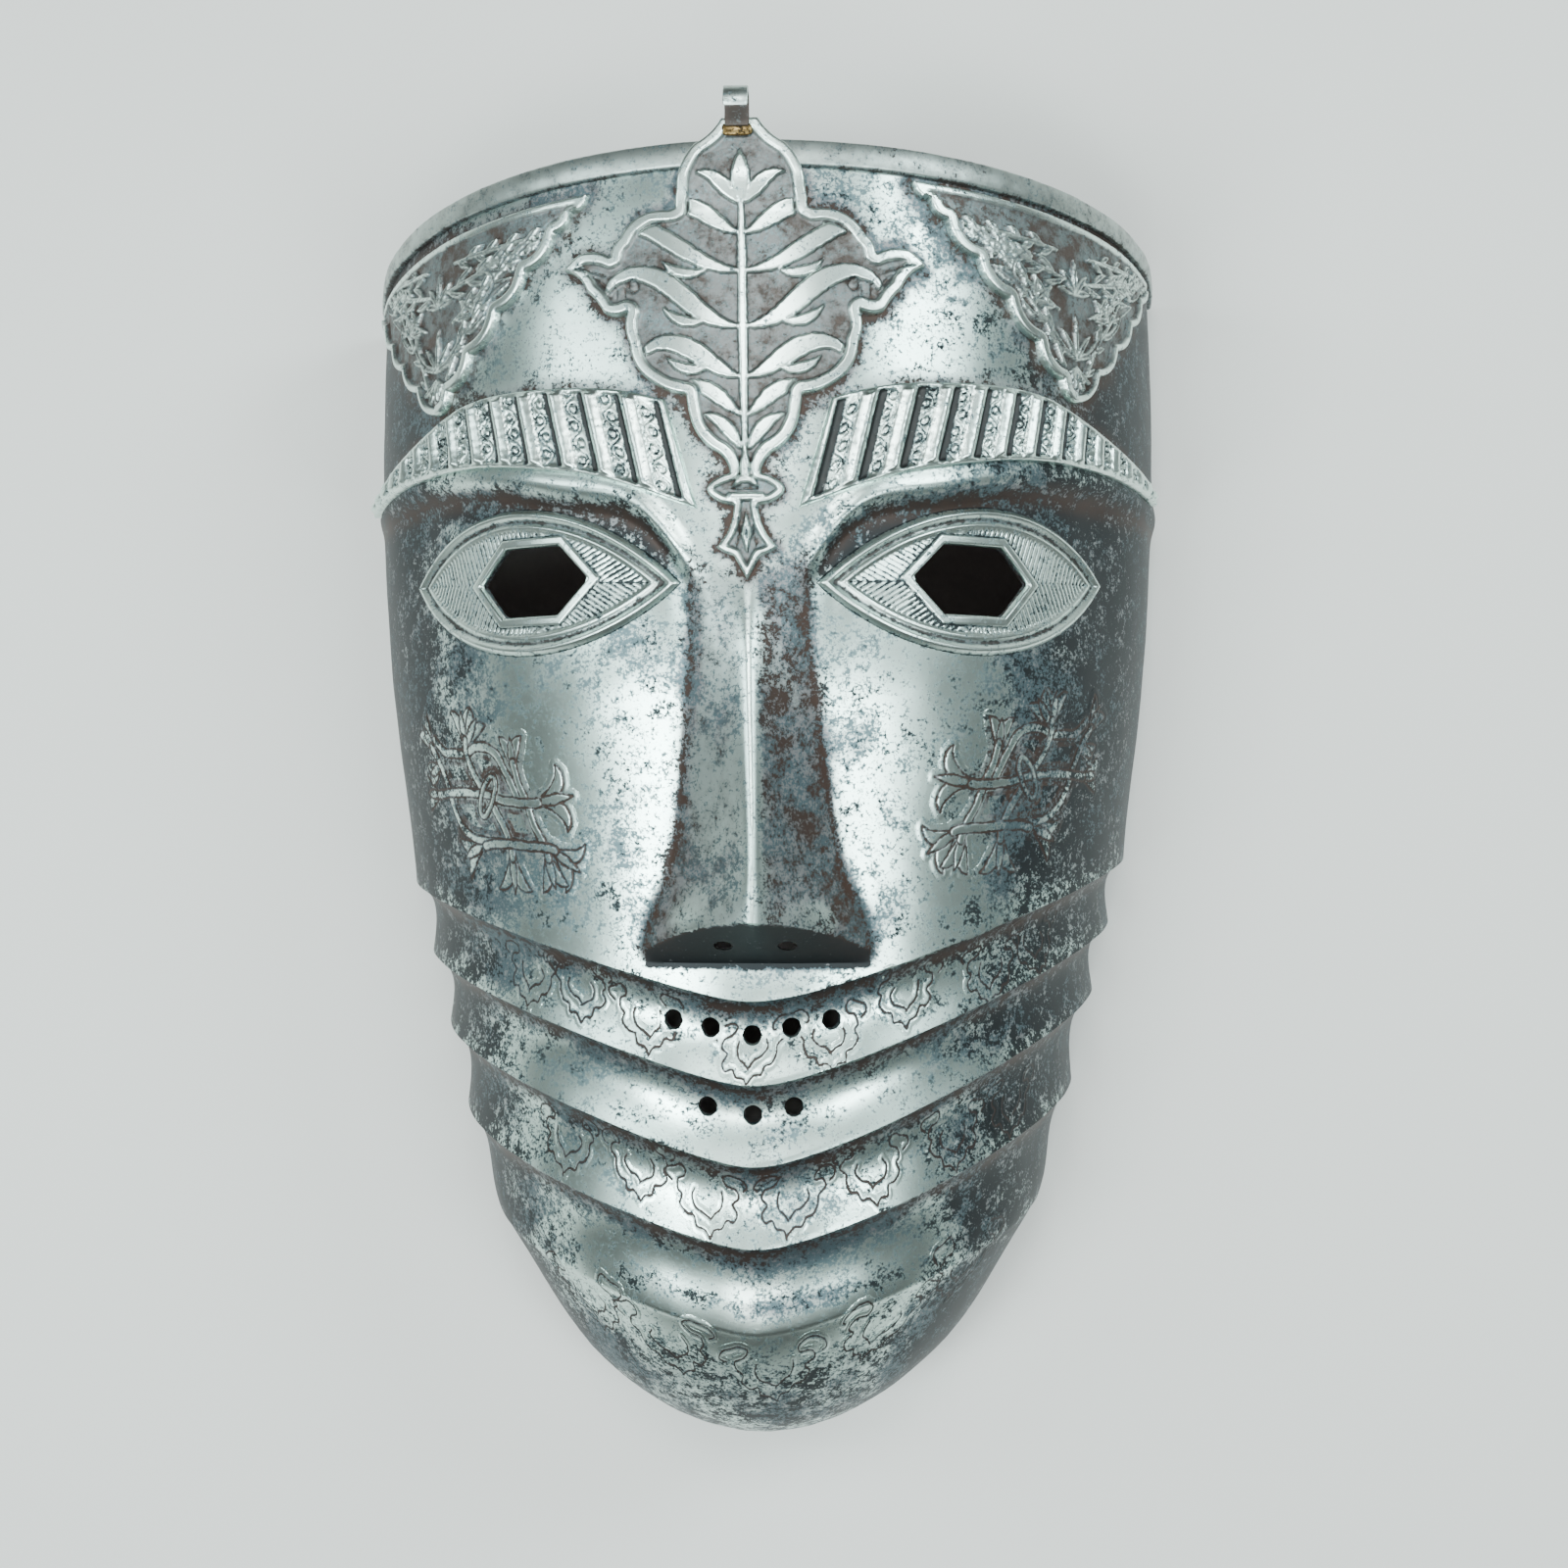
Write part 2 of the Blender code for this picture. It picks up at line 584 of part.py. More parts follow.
def hanging_hook(metal):
    # the foot lies on the cartouche's neck, and the strip bends over forwards and curls in
    plate_top = face_point(np.array(0.0), np.array(HOOK_FOOT), 2 * GAP + BAND + PLATE)[2]
    back = plate_top + GAP
    middle = back + HOOK_STRIP + HOOK_INNER_RADIUS
    inner, outer = [], []
    turns = np.radians(np.linspace(180, HOOK_CURL_DEGREES, 17))
    for radius, line in ((HOOK_INNER_RADIUS, inner), (HOOK_INNER_RADIUS + HOOK_STRIP, outer)):
        line.append((HOOK_FOOT, middle - radius))
        line += [(HOOK_CENTRE_HEIGHT + radius * np.sin(t), middle + radius * np.cos(t)) for t in turns]
    half = HOOK_WIDTH / 2
    verts, faces = [], []
    for (ya, za), (yb, zb) in zip(inner, outer):
        verts += [(HOOK_SIDE - half, ya, za), (HOOK_SIDE + half, ya, za),
                  (HOOK_SIDE + half, yb, zb), (HOOK_SIDE - half, yb, zb)]
    last = 4 * (len(inner) - 1)
    faces = [[3, 2, 1, 0], [last, last + 1, last + 2, last + 3]]
    for k in range(len(inner) - 1):
        for c in range(4):
            n = (c + 1) % 4
            faces.append([4 * k + c, 4 * k + n, 4 * k + 4 + n, 4 * k + 4 + c])
    return add_object("hanging_hook", verts, faces, metal)


def main():
    clear_scene()
    sheet = material("dark hammered iron", (0.30, 0.33, 0.34), 0.38)
    bright = material("burnished iron", (0.52, 0.56, 0.56), 0.34)
    shell = face_sheet(sheet)
    cut_holes(shell, hole_cutters())
    rim_band(bright)
    forehead_cartouche(bright)
    temple_plates(bright)
    brow_strips(bright)
    hanging_hook(sheet)


main()
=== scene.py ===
# Iron war mask, face up on a pale floor. Lengths are in millimetres until a mesh is made.
import bpy
import bmesh
import numpy as np
from mathutils import Matrix, Vector
from mathutils.geometry import delaunay_2d_cdt


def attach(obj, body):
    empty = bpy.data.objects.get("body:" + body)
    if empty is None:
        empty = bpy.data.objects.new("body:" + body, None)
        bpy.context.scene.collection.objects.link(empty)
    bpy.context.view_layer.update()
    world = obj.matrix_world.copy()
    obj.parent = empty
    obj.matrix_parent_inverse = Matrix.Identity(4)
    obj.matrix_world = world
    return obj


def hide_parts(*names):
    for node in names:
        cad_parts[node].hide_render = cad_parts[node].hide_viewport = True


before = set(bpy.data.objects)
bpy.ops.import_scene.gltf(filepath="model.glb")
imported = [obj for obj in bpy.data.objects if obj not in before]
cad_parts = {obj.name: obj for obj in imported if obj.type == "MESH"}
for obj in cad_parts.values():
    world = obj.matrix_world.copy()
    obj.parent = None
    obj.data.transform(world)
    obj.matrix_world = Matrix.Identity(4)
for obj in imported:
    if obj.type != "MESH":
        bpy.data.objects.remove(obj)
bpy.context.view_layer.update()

metre = 0.001
print("frame loaded:", ", ".join(sorted(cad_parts)))

# the sheet: an elliptical dome with pleats, brow ridges, eye sockets and a nose added to it
face = {
    "sections": np.array([       # height, half width, depth of the half ellipse at that height
        [126, 83.0, 87.0], [98, 84.2, 89.0], [70, 84.6, 90.0], [42, 83.6, 89.5], [14, 81.0, 87.0],
        [-13, 75.8, 84.0], [-43, 68.6, 80.0], [-73, 62.4, 75.0], [-103, 56.0, 70.0], [-133, 49.0, 66.0]]),
    "chin": -133.0, "chinWidthFrom": -70.0, "chinWidthPower": 2.05,
    "chinDepthFrom": -86.0, "chinDepthPower": 2.4,
    "top": 122.8, "dipLeft": 13.5, "dipRight": 8.5, "dipPower": 1.9,
    "wall": 1.5,
    "crests": np.array([         # height in the middle, climb left, climb right, how far it stands out
        [-32.3, 19.5, 24.0, 1.9], [-48.0, 20.3, 25.8, 1.8], [-63.4, 20.1, 26.6, 1.8],
        [-79.4, 18.1, 22.6, 1.7], [-96.8, 14.0, 16.0, 1.2]]),
    "crestRounding": 0.08, "pleatRise": 34.0, "lastFade": 26.0, "lastSoft": 6.5, "lastBend": 0.34,
    "sag": (2.6, 2.6, 2.6, 2.3, 1.5), "sagShift": 0.74,      # depth of each flute, and where it is deepest
    "dents": (0.07, 0.02),       # depth of the broad and of the fine hammer marks
    "wrap": 85.0,                # turns a distance round the face into an angle
    "rise": 1.35,                # added to every height, so that the origin is in the middle
}
noseShape = {
    "rows": np.array([           # height, half width, how far the ridge stands out
        [52, 10.0, 0.0], [47, 10.1, 0.5], [40, 10.3, 2.3], [33, 10.5, 4.5], [14, 12.2, 9.0], [-2, 14.0, 13.0],
        [-12, 16.6, 15.5], [-19, 19.4, 16.8], [-26, 20.0, 17.4]]),
    "tip": -17.0, "wing": -22.5, "base": -25.5, "lean": 1.3, "top": 52.0, "round": 0.8,
    "hollow": 0.25, "bulge": 0.6, "bulgeFrom": -8, "bulgeTo": -20,      # its flanks sag, its wings swell
}
browShape = {
    "ridge": np.array([          # distance from the middle, height of the ridge over the socket
        [0, 43], [10, 47], [18, 56], [31, 61], [44, 63.5], [60, 65.5], [74, 65], [90, 63]]),
    "socketDepth": 2.6, "socketStep": 5.0, "socketFloor": 22.0, "swell": 0.9, "swellWide": 3.0,
    "noseSide": (6, 16), "templeSide": (66, 80),             # where the socket starts and ends
}


def spline(table, at):
    # natural cubic spline through the table's first two columns
    order = np.argsort(table[:, 0])
    x, y = table[order, 0], table[order, 1]
    step = np.diff(x)
    matrix, right = np.eye(len(x)), np.zeros(len(x))
    for i in range(1, len(x) - 1):
        matrix[i, i - 1:i + 2] = step[i - 1], 2 * (step[i - 1] + step[i]), step[i]
        right[i] = 6 * ((y[i + 1] - y[i]) / step[i] - (y[i] - y[i - 1]) / step[i - 1])
    bend = np.linalg.solve(matrix, right)
    at = np.clip(at, x[0], x[-1])
    k = np.clip(np.searchsorted(x, at) - 1, 0, len(x) - 2)
    a = (x[k + 1] - at) / step[k]
    b = 1 - a
    return a * y[k] + b * y[k + 1] + ((a ** 3 - a) * bend[k] + (b ** 3 - b) * bend[k + 1]) * step[k] ** 2 / 6


def ramp(value, low, high):
    # 0 below low, 1 above high, a smooth S between them
    t = np.clip((value - low) / (high - low), 0, 1)
    return t * t * (3 - 2 * t)


def bell(value, middle, wide):
    # 1 in the middle, falling to a third at that distance from it
    return np.exp(-((value - middle) / wide) ** 2)


def rounded(inside, width):
    # 0 at an edge and 1 from that width inwards, round like a filed edge
    t = np.clip(inside / width, 0, 1)
    return np.sqrt(np.maximum(1 - (1 - t) ** 2, 0))


def speckle(x, y, size, seed):
    # irregular little bumps between -1 and 1: waves of that size crossed at odd angles
    k = 2 * np.pi / size
    u, v = x * k, y * k
    a = np.sin(u + 2.1 * np.sin(v * 0.37 + seed)) * np.sin(v * 0.93 + 1.9 * np.sin(u * 0.29 - seed))
    b = np.sin((x * 0.8 + y * 0.6) * k * 1.7 + seed * 2) * np.sin((y * 0.8 - x * 0.6) * k * 1.55 - seed)
    return 0.6 * a + 0.4 * b


def chinFall(y, name):
    # 1 on the face, falling like an ellipse to 0 at the chin
    inward = np.clip((face[name + "From"] - y) / (face[name + "From"] - face["chin"]), 0, 1)
    return np.sqrt(np.maximum(1 - inward ** face[name + "Power"], 0))


def halfWidth(y):
    # a spline through the sections, drawn in like an ellipse at the chin
    return spline(face["sections"], y) * chinFall(y, "chinWidth")


def depth(y):
    # how far the dome stands over its back edge, drawn in the same way but lower down
    return spline(face["sections"][:, [0, 2]], y) * chinFall(y, "chinDepth")


def topEdge(angle):
    # highest in the middle, falling by nearly the square of the angle to both back rims
    dip = np.where(angle < 0, face["dipLeft"], face["dipRight"])
    return face["top"] - dip * (np.abs(angle) / (np.pi / 2)) ** face["dipPower"]


def crestLine(number, angle):
    # a rounded V that climbs from the middle to both back rims
    middle, left, right, _ = face["crests"][number]
    corner, side = face["crestRounding"], np.abs(np.sin(angle))
    vee = (np.sqrt(side ** 2 + corner ** 2) - corner) / (np.sqrt(1 + corner ** 2) - corner)
    return middle + np.where(angle < 0, left * vee, right * vee ** 1.15)


def pleats(angle, y):
    # flutes between crests: each drops steeply under its upper crest and sweeps out to the next one
    out = face["crests"][:, 3]
    lines = [crestLine(k, angle) for k in range(len(out))]
    rise = face["pleatRise"]
    result = np.where(y >= lines[0], out[0] * np.clip((lines[0] + rise - y) / rise, 0, 1) ** 3, 0)
    for k, line in enumerate(lines):
        last = k == len(lines) - 1
        below = line - face["lastFade"] if last else lines[k + 1]
        goal = 0 if last else out[k + 1]
        part = np.clip((line - y) / (line - below), 0, 1)
        shape = out[k] + (goal - out[k]) * part - face["sag"][k] * np.sin(np.pi * part ** face["sagShift"])
        result = np.where((y < line) & (y >= below), shape, result)
    near = np.maximum(face["lastSoft"] - np.abs(y - lines[-1]), 0)      # the lowest crest is a soft swelling
    return result - face["lastBend"] * near ** 2 / (4 * face["lastSoft"])


def browAndSocket(x, y):
    # the sheet drops from the rolled ridge into the eye socket, which fades on the cheek
    side = np.abs(x)
    line = spline(browShape["ridge"], side)
    drop = ramp(line - y, 0, browShape["socketStep"])
    across = ramp(side, *browShape["noseSide"]) * (1 - ramp(side, *browShape["templeSide"]))
    ridge = browShape["swell"] * bell(y, line, browShape["swellWide"]) * ramp(side, 8, 14)
    return ridge - browShape["socketDepth"] * drop * ramp(y, browShape["socketFloor"], line) * across


def noseMiddle(y):
    # the ridge leans a little to the right on its way down
    return noseShape["lean"] * ramp(-y, -noseShape["top"], -noseShape["tip"])


def nose(x, y):
    # two sagging flanks that meet in a ridge, cut off by the plate beneath
    half = spline(noseShape["rows"], y)
    high = spline(noseShape["rows"][:, [0, 2]], y)
    aside = np.sqrt((x - noseMiddle(y)) ** 2 + noseShape["round"] ** 2) - noseShape["round"]
    across = np.clip(aside / half, 0, 1)
    bulge = noseShape["bulge"] * ramp(-y, -noseShape["bulgeFrom"], -noseShape["bulgeTo"])
    flank = (1 - across) * (1 - (noseShape["hollow"] - bulge) * across)
    lowerEdge = noseShape["tip"] + (noseShape["wing"] - noseShape["tip"]) * across ** 2
    under = np.clip((y - noseShape["base"]) / (lowerEdge - noseShape["base"]), 0, 1)
    return np.maximum(high, 0) * flank * under * (y < noseShape["top"])


def outward(angle, y):
    # direction straight out of the bare dome, from its slopes over a short reach
    reach = 0.05
    wide, deep = np.maximum(halfWidth(y), reach), np.maximum(depth(y), reach)
    wideSlope = (halfWidth(y + reach) - halfWidth(y - reach)) / (2 * reach)
    deepSlope = (depth(y + reach) - depth(y - reach)) / (2 * reach)
    s, c = np.sin(angle), np.cos(angle)
    way = np.stack([s / wide, -(s * s * wideSlope / wide + c * c * deepSlope / deep), c / deep], -1)
    return way / np.linalg.norm(way, axis=-1, keepdims=True)


def hammered(angle, y):
    # shallow dents left by the hammer: slow waves crossed at odd angles
    a = angle * face["wrap"]
    broad = np.sin(a * 0.19 + 2.3 * np.sin(y * 0.07 + 1)) * np.sin(y * 0.17 + 2.7 * np.sin(a * 0.06))
    fine = np.sin(a * 0.43 + 3 * np.sin(y * 0.09)) * np.sin(y * 0.39 - 2 * np.sin(a * 0.11))
    return face["dents"][0] * broad + face["dents"][1] * fine


def facePoint(angle, y, lift):
    # the point of the face at that angle and height, lifted along the outward direction
    angle, y, lift = np.broadcast_arrays(angle, y, lift)
    bare = np.stack([halfWidth(y) * np.sin(angle), y, depth(y) * np.cos(angle)], -1)
    dents = hammered(angle, y) * ramp(np.pi / 2 - np.abs(angle), 0.0, 0.15)
    total = pleats(angle, y) + browAndSocket(bare[..., 0], y) + dents + lift
    point = bare + outward(angle, y) * total[..., None]
    point[..., 2] += nose(bare[..., 0], y)
    return point


def clipGrid(inside, *grids):
    # cuts a grid along the zero line of inside. Gives the grids' values at the corners that stay and then at
    # the cuts on the grid's lines, and the faces between them
    limit = 1e-4
    inside = np.where(np.abs(inside) < limit, limit, inside)
    keep, flat = inside > 0, inside.ravel()
    corner = np.arange(inside.size).reshape(inside.shape)
    across, down = keep[:, :-1] != keep[:, 1:], keep[:-1] != keep[1:]
    first = np.concatenate([corner[:, :-1][across], corner[:-1][down]])
    second = np.concatenate([corner[:, 1:][across], corner[1:][down]])
    share = flat[first] / (flat[first] - flat[second])
    number, cutAcross, cutDown = (np.full(marks.shape, -1) for marks in (keep, across, down))
    total = 0
    for numbers, marks in ((number, keep), (cutAcross, across), (cutDown, down)):
        numbers[marks] = total + np.arange(marks.sum())
        total += marks.sum()
    corners = [number[:-1, :-1], number[:-1, 1:], number[1:, 1:], number[1:, :-1]]
    edges = [cutAcross[:-1], cutDown[:, 1:], cutAcross[1:], cutDown[:, :-1]]
    code = sum((c >= 0).astype(int) << k for k, c in enumerate(corners))
    faces = []
    for case in range(1, 16):                                # which of a cell's four corners are kept
        ring = []
        for k in range(4):
            here, there = case >> k & 1, case >> (k + 1) % 4 & 1
            if here:
                ring.append(corners[k][code == case])
            if here != there:
                ring.append(edges[k][code == case])
        faces += np.stack(ring, 1).tolist()
    values = [grid.ravel() for grid in grids]
    cut = [v[first] * (1 - share) + v[second] * share for v in values]
    return [np.append(v[corner[keep]], c) for v, c in zip(values, cut)] + [faces]


def borderEdges(faces):
    # edges that only one face uses, in that face's direction
    seen = {}
    for ring in faces:
        for a, b in zip(ring, ring[1:] + ring[:1]):
            if not seen.pop((b, a), False):
                seen[a, b] = True
    return list(seen)


def insideTriangles(triangles, border):
    # the triangles on the inner side of the border's directed edges: they spread until they meet it
    byEdge = {}
    for k, (a, b, c) in enumerate(triangles):
        byEdge[a, b] = byEdge[b, c] = byEdge[c, a] = k
    walls = set(border)
    front = [byEdge[edge] for edge in border if edge in byEdge]
    kept = set(front)
    while front:
        a, b, c = triangles[front.pop()]
        for edge in ((a, b), (b, c), (c, a)):
            beyond = byEdge.get(edge[::-1])
            if edge not in walls and beyond is not None and beyond not in kept:
                kept.add(beyond)
                front.append(beyond)
    return [triangles[k] for k in sorted(kept)]


def sweptFaces(count, ring):
    # quads between so many closed rings of points, each joined to the next
    index = np.arange(count * ring).reshape(count, ring)
    turned = np.roll(index, -1, 1)
    return np.stack([index[:-1], index[1:], turned[1:], turned[:-1]], -1).reshape(-1, 4).tolist()


def endFaces(count, ring):
    # the two faces that close a sweep
    return [list(range(ring)), list(range(count * ring))[:-ring - 1:-1]]


def makePiece(name, points, faces, metals, tones, node=None, sharp=38, faceMetal=None, merge=0.0):
    # a visible piece of the root body, in metres, that carries its tones as attributes
    mesh = bpy.data.meshes.new(name)
    mesh.from_pydata(((points.reshape(-1, 3) + [0, face["rise"], 0]) * metre).tolist(), [], faces)
    for key, values in tones.items():
        layer = mesh.attributes.new(key, "FLOAT", "POINT")
        layer.data.foreach_set("value", np.clip(np.ravel(values), 0, 1).astype(np.float32))
    for metal in metals:
        mesh.materials.append(metal)
    if faceMetal is not None:
        mesh.polygons.foreach_set("material_index", faceMetal.astype(np.int32))
    if merge:
        work = bmesh.new()
        work.from_mesh(mesh)
        bmesh.ops.remove_doubles(work, verts=work.verts, dist=merge * metre)
        work.to_mesh(mesh)
        work.free()
    mesh.validate()
    mesh.shade_smooth()
    mesh.set_sharp_from_angle(angle=np.radians(sharp))
    piece = bpy.data.objects.new(name, mesh)
    bpy.context.scene.collection.objects.link(piece)
    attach(piece, "root")
    if node:
        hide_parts(node)
    print("made", name, len(mesh.polygons), "faces")


def linear(code):
    # an sRGB hex colour as linear red, green, blue and alpha
    parts = np.array([int(code[i:i + 2], 16) / 255 for i in (1, 3, 5)])
    parts = np.where(parts <= 0.04045, parts / 12.92, ((parts + 0.055) / 1.055) ** 2.4)
    return (*parts.tolist(), 1.0)


def addNode(tree, kind, settings=None, links=None):
    # a node with its properties, its socket values by name or number, and its incoming links
    node = tree.nodes.new(kind)
    for key, value in (settings or {}).items():
        if isinstance(key, str) and hasattr(node, key):
            setattr(node, key, value)
        else:
            node.inputs[key].default_value = value
    for key, source in (links or {}).items():
        tree.links.new(source, node.inputs[key])
    return node


ironLook = {
    # forged iron, hammered, burnished and given painted highlights on its high places, and dark with oxide
    # and painted shade in the low ones
    "bright": "#d1e6de", "fleck": "#50686f", "dull": "#7a7378", "oxide": "#151719", "rust": "#45342c",
    "blotchSize": 24.0, "clusterSize": 7.0, "speckSize": 0.62, "specks": 0.40, "flecks": 0.85,
    "roughBright": 0.28, "roughDark": 0.52, "tarnish": 0.50, "pitDepth": 0.07,
    # the noise values between which each layer comes up
    "blotchEdge": (0.40, 0.66), "crowdEdge": (0.44, 0.70), "patchEdge": (0.20, 0.72),
    "fleckEdge": (0.54, 0.59), "pitEdge": (0.60, 0.65), "stainEdge": (0.42, 0.60),
}


def agedIron(name, look=None):
    # soft dull patches, crisp blue flecks in clusters over them, then dark pits: bright where the burnish and
    # painted highlight attribute is high, dark where grime and painted shade are high, brown where rust is
    # high
    v = dict(ironLook, **(look or {}))
    metal = bpy.data.materials.new(name)
    metal.use_nodes = True
    tree = metal.node_tree
    place = addNode(tree, "ShaderNodeTexCoord").outputs["Object"]
    made = {}
    for key in ("burnish", "grime", "rust"):
        made[key] = addNode(tree, "ShaderNodeAttribute", {"attribute_name": key}).outputs["Fac"]
    for key, size, detail, rough, distortion in (
            ("blotch", v["blotchSize"], 6, 0.6, 0.4), ("cluster", v["clusterSize"], 6, 0.65, 0.3),
            ("grains", v["speckSize"], 4, 0.7, 0.0), ("flakes", v["speckSize"] * 3.4, 6, 0.75, 0.0)):
        settings = {"Scale": 1 / (size * metre), "Detail": detail, "Roughness": rough,
                    "Distortion": distortion}
        made[key] = addNode(tree, "ShaderNodeTexNoise", settings, {"Vector": place}).outputs["Fac"]
    # each new value, its operation, and the numbers, colours and earlier values that go into it. Free
    # ones aren't clamped to 0 and 1
    steps = (
        ("halfFlakes", "MULTIPLY", "flakes", 0.5),
        ("speck", "MULTIPLY_ADD", "grains", 0.5, "halfFlakes"),
        ("blotches", "BLEND", "blotch", *v["blotchEdge"]),
        ("unrubbed", "MULTIPLY_ADD free", "burnish", -0.35, "grime"),
        ("tarnish", "MULTIPLY_ADD", "blotches", v["tarnish"], "unrubbed"),
        ("clusters", "BLEND", "cluster", *v["crowdEdge"]),
        ("dirt", "MULTIPLY_ADD free", "burnish", -0.1, "grime"),
        ("crowd", "MULTIPLY_ADD", "clusters", v["specks"], "dirt"),
        ("lessTarnish", "SUBTRACT free", "tarnish", 0.25),
        ("patchGrain", "MULTIPLY_ADD", "flakes", 0.5, "lessTarnish"),
        ("dullPatch", "BLEND", "patchGrain", *v["patchEdge"]),
        ("patch", "MULTIPLY_ADD", "rust", 1.4, "dullPatch"),
        ("film", "MAXIMUM", "tarnish", "crowd"),
        ("fleckGrain", "MULTIPLY_ADD", "film", 0.17, "speck"),
        ("fleck", "BLEND", "fleckGrain", *v["fleckEdge"]),
        ("pitGrain", "MULTIPLY_ADD", "crowd", 0.25, "speck"),
        ("pit", "BLEND", "pitGrain", *v["pitEdge"]),
        ("pitDark", "MULTIPLY", "pit", 0.94),
        # grime and painted shade turn the colour towards the oxide
        ("grimeDark", "MULTIPLY", "grime", 0.30),
        ("dark", "MAXIMUM", "pitDark", "grimeDark"),
        ("stainGrain", "MULTIPLY_ADD", "cluster", 0.5, "halfFlakes"),
        ("stain", "BLEND", "stainGrain", *v["stainEdge"]),
        ("patchShare", "MULTIPLY", "patch", 0.85),
        ("patchColour", "MIX", "patchShare", v["bright"], v["dull"]),
        ("fleckShare", "MULTIPLY", "fleck", v["flecks"]),
        ("fleckColour", "MIX", "fleckShare", "patchColour", v["fleck"]),
        ("scaleColour", "MIX", "rust", v["oxide"], v["rust"]),
        ("pitColour", "MIX", "dark", "fleckColour", "scaleColour"),
        ("stainShare", "MULTIPLY", "rust", "stain"),
        ("Base Color", "MIX", "stainShare", "pitColour", v["rust"]),
        ("dullShare", "MAXIMUM", "patch", "fleck"),
        ("roughShare", "MAXIMUM", "dark", "dullShare"),
        ("Roughness", "MULTIPLY_ADD", "roughShare", v["roughDark"] - v["roughBright"], v["roughBright"]),
        ("scaleShare", "MULTIPLY", "dark", 0.35),
        ("Metallic", "SUBTRACT", 1.0, "scaleShare"),
        ("bumps", "MULTIPLY", "speck", 0.8),
        ("Height", "SUBTRACT free", "bumps", "pit"),
    )
    smooth = {"interpolation_type": "SMOOTHSTEP"}
    kinds = {"BLEND": ("MapRange", smooth, ("Value", "From Min", "From Max"), 0),
             "MIX": ("Mix", {"data_type": "RGBA"}, (0, 6, 7), 2)}
    for key, operation, *sources in steps:
        operation, _, free = operation.partition(" ")
        math = "Math", {"operation": operation, "use_clamp": not free}, (0, 1, 2), 0
        kind, settings, sockets, output = kinds.get(operation, math)
        settings, links = dict(settings), {}
        for socket, source in zip(sockets, sources):
            if source in made:
                links[socket] = made[source]
            else:
                settings[socket] = linear(source) if isinstance(source, str) else source
        made[key] = addNode(tree, "ShaderNode" + kind, settings, links).outputs[output]
    settings = {"Strength": 0.6, "Distance": v["pitDepth"] * metre}
    bump = addNode(tree, "ShaderNodeBump", settings, {"Height": made["Height"]})
    made["Normal"] = bump.outputs["Normal"]
    for key in ("Base Color", "Roughness", "Metallic", "Normal"):
        tree.links.new(made[key], tree.nodes["Principled BSDF"].inputs[key])
    return metal


# hammered sheet: it shines on the crests, partly as painted highlights, and is brown, speckled and dull
# in the hollows, partly as painted shade
sheetIron = agedIron("forged iron, burnished and tarnished")
# the forge's scale, never rubbed off, darkened further as painted shade seen through the holes: dark, matt
# and even
insideIron = agedIron("forged iron, oxide scale and painted shade inside", {
    "bright": "#4a4f4f", "fleck": "#33393b", "dull": "#3b3e3f", "oxide": "#1a1e20", "tarnish": 0.7,
    "specks": 0.7, "roughBright": 0.42, "roughDark": 0.65})
# thicker iron with filed edges: brighter and cleaner, with brown left in its sunk ground
plateIron = agedIron("forged iron, raised and burnished", {
    "bright": "#d8eae2", "fleck": "#7d9396", "dull": "#615d60", "rust": "#4f4540", "tarnish": 0.30,
    "specks": 0.30, "blotchSize": 16.0})
# brass that has run and set, gone brown: a dull yellow under dark dirt
brass = agedIron("brazing brass, dulled", {
    "bright": "#8a744c", "fleck": "#5e4b2c", "dull": "#57452c", "oxide": "#1d170e", "tarnish": 0.6})

sheet = {
    "fineStep": 0.62, "coarseStep": 2.0, "fineTo": 20.0, "coarseFrom": 44.0,        # columns round the face
    "edgeRound": 0.3,
    "eyeHeight": 44.5, "eyeRound": 44.6, "eyeHalf": 13.5, "eyeFlat": 6.8, "eyeHigh": 6.7,
    "breathRadius": 1.9, "breathClimb": 0.19,
    "breathRows": ((-39.3, (-14.5, -7.5, 0.3, 7.6, 15.0)), (-54.4, (-8.2, 0.3, 8.0))),   # height, places
    "nostrilRadius": 1.75, "nostrilAside": 5.7, "nostrilHeight": -21.9, "nostrilShape": (0.86, 1.9),
    "rows": (20, 9, 18, 20, 24, 16),     # how many from the top edge over the brow, socket, eye and nose
    "bandRows": (0, 0.025, 0.06, 0.1, 0.15, 0.21, 0.28, 0.36, 0.45, 0.54, 0.63, 0.72, 0.8, 0.87, 0.93, 0.97),
}
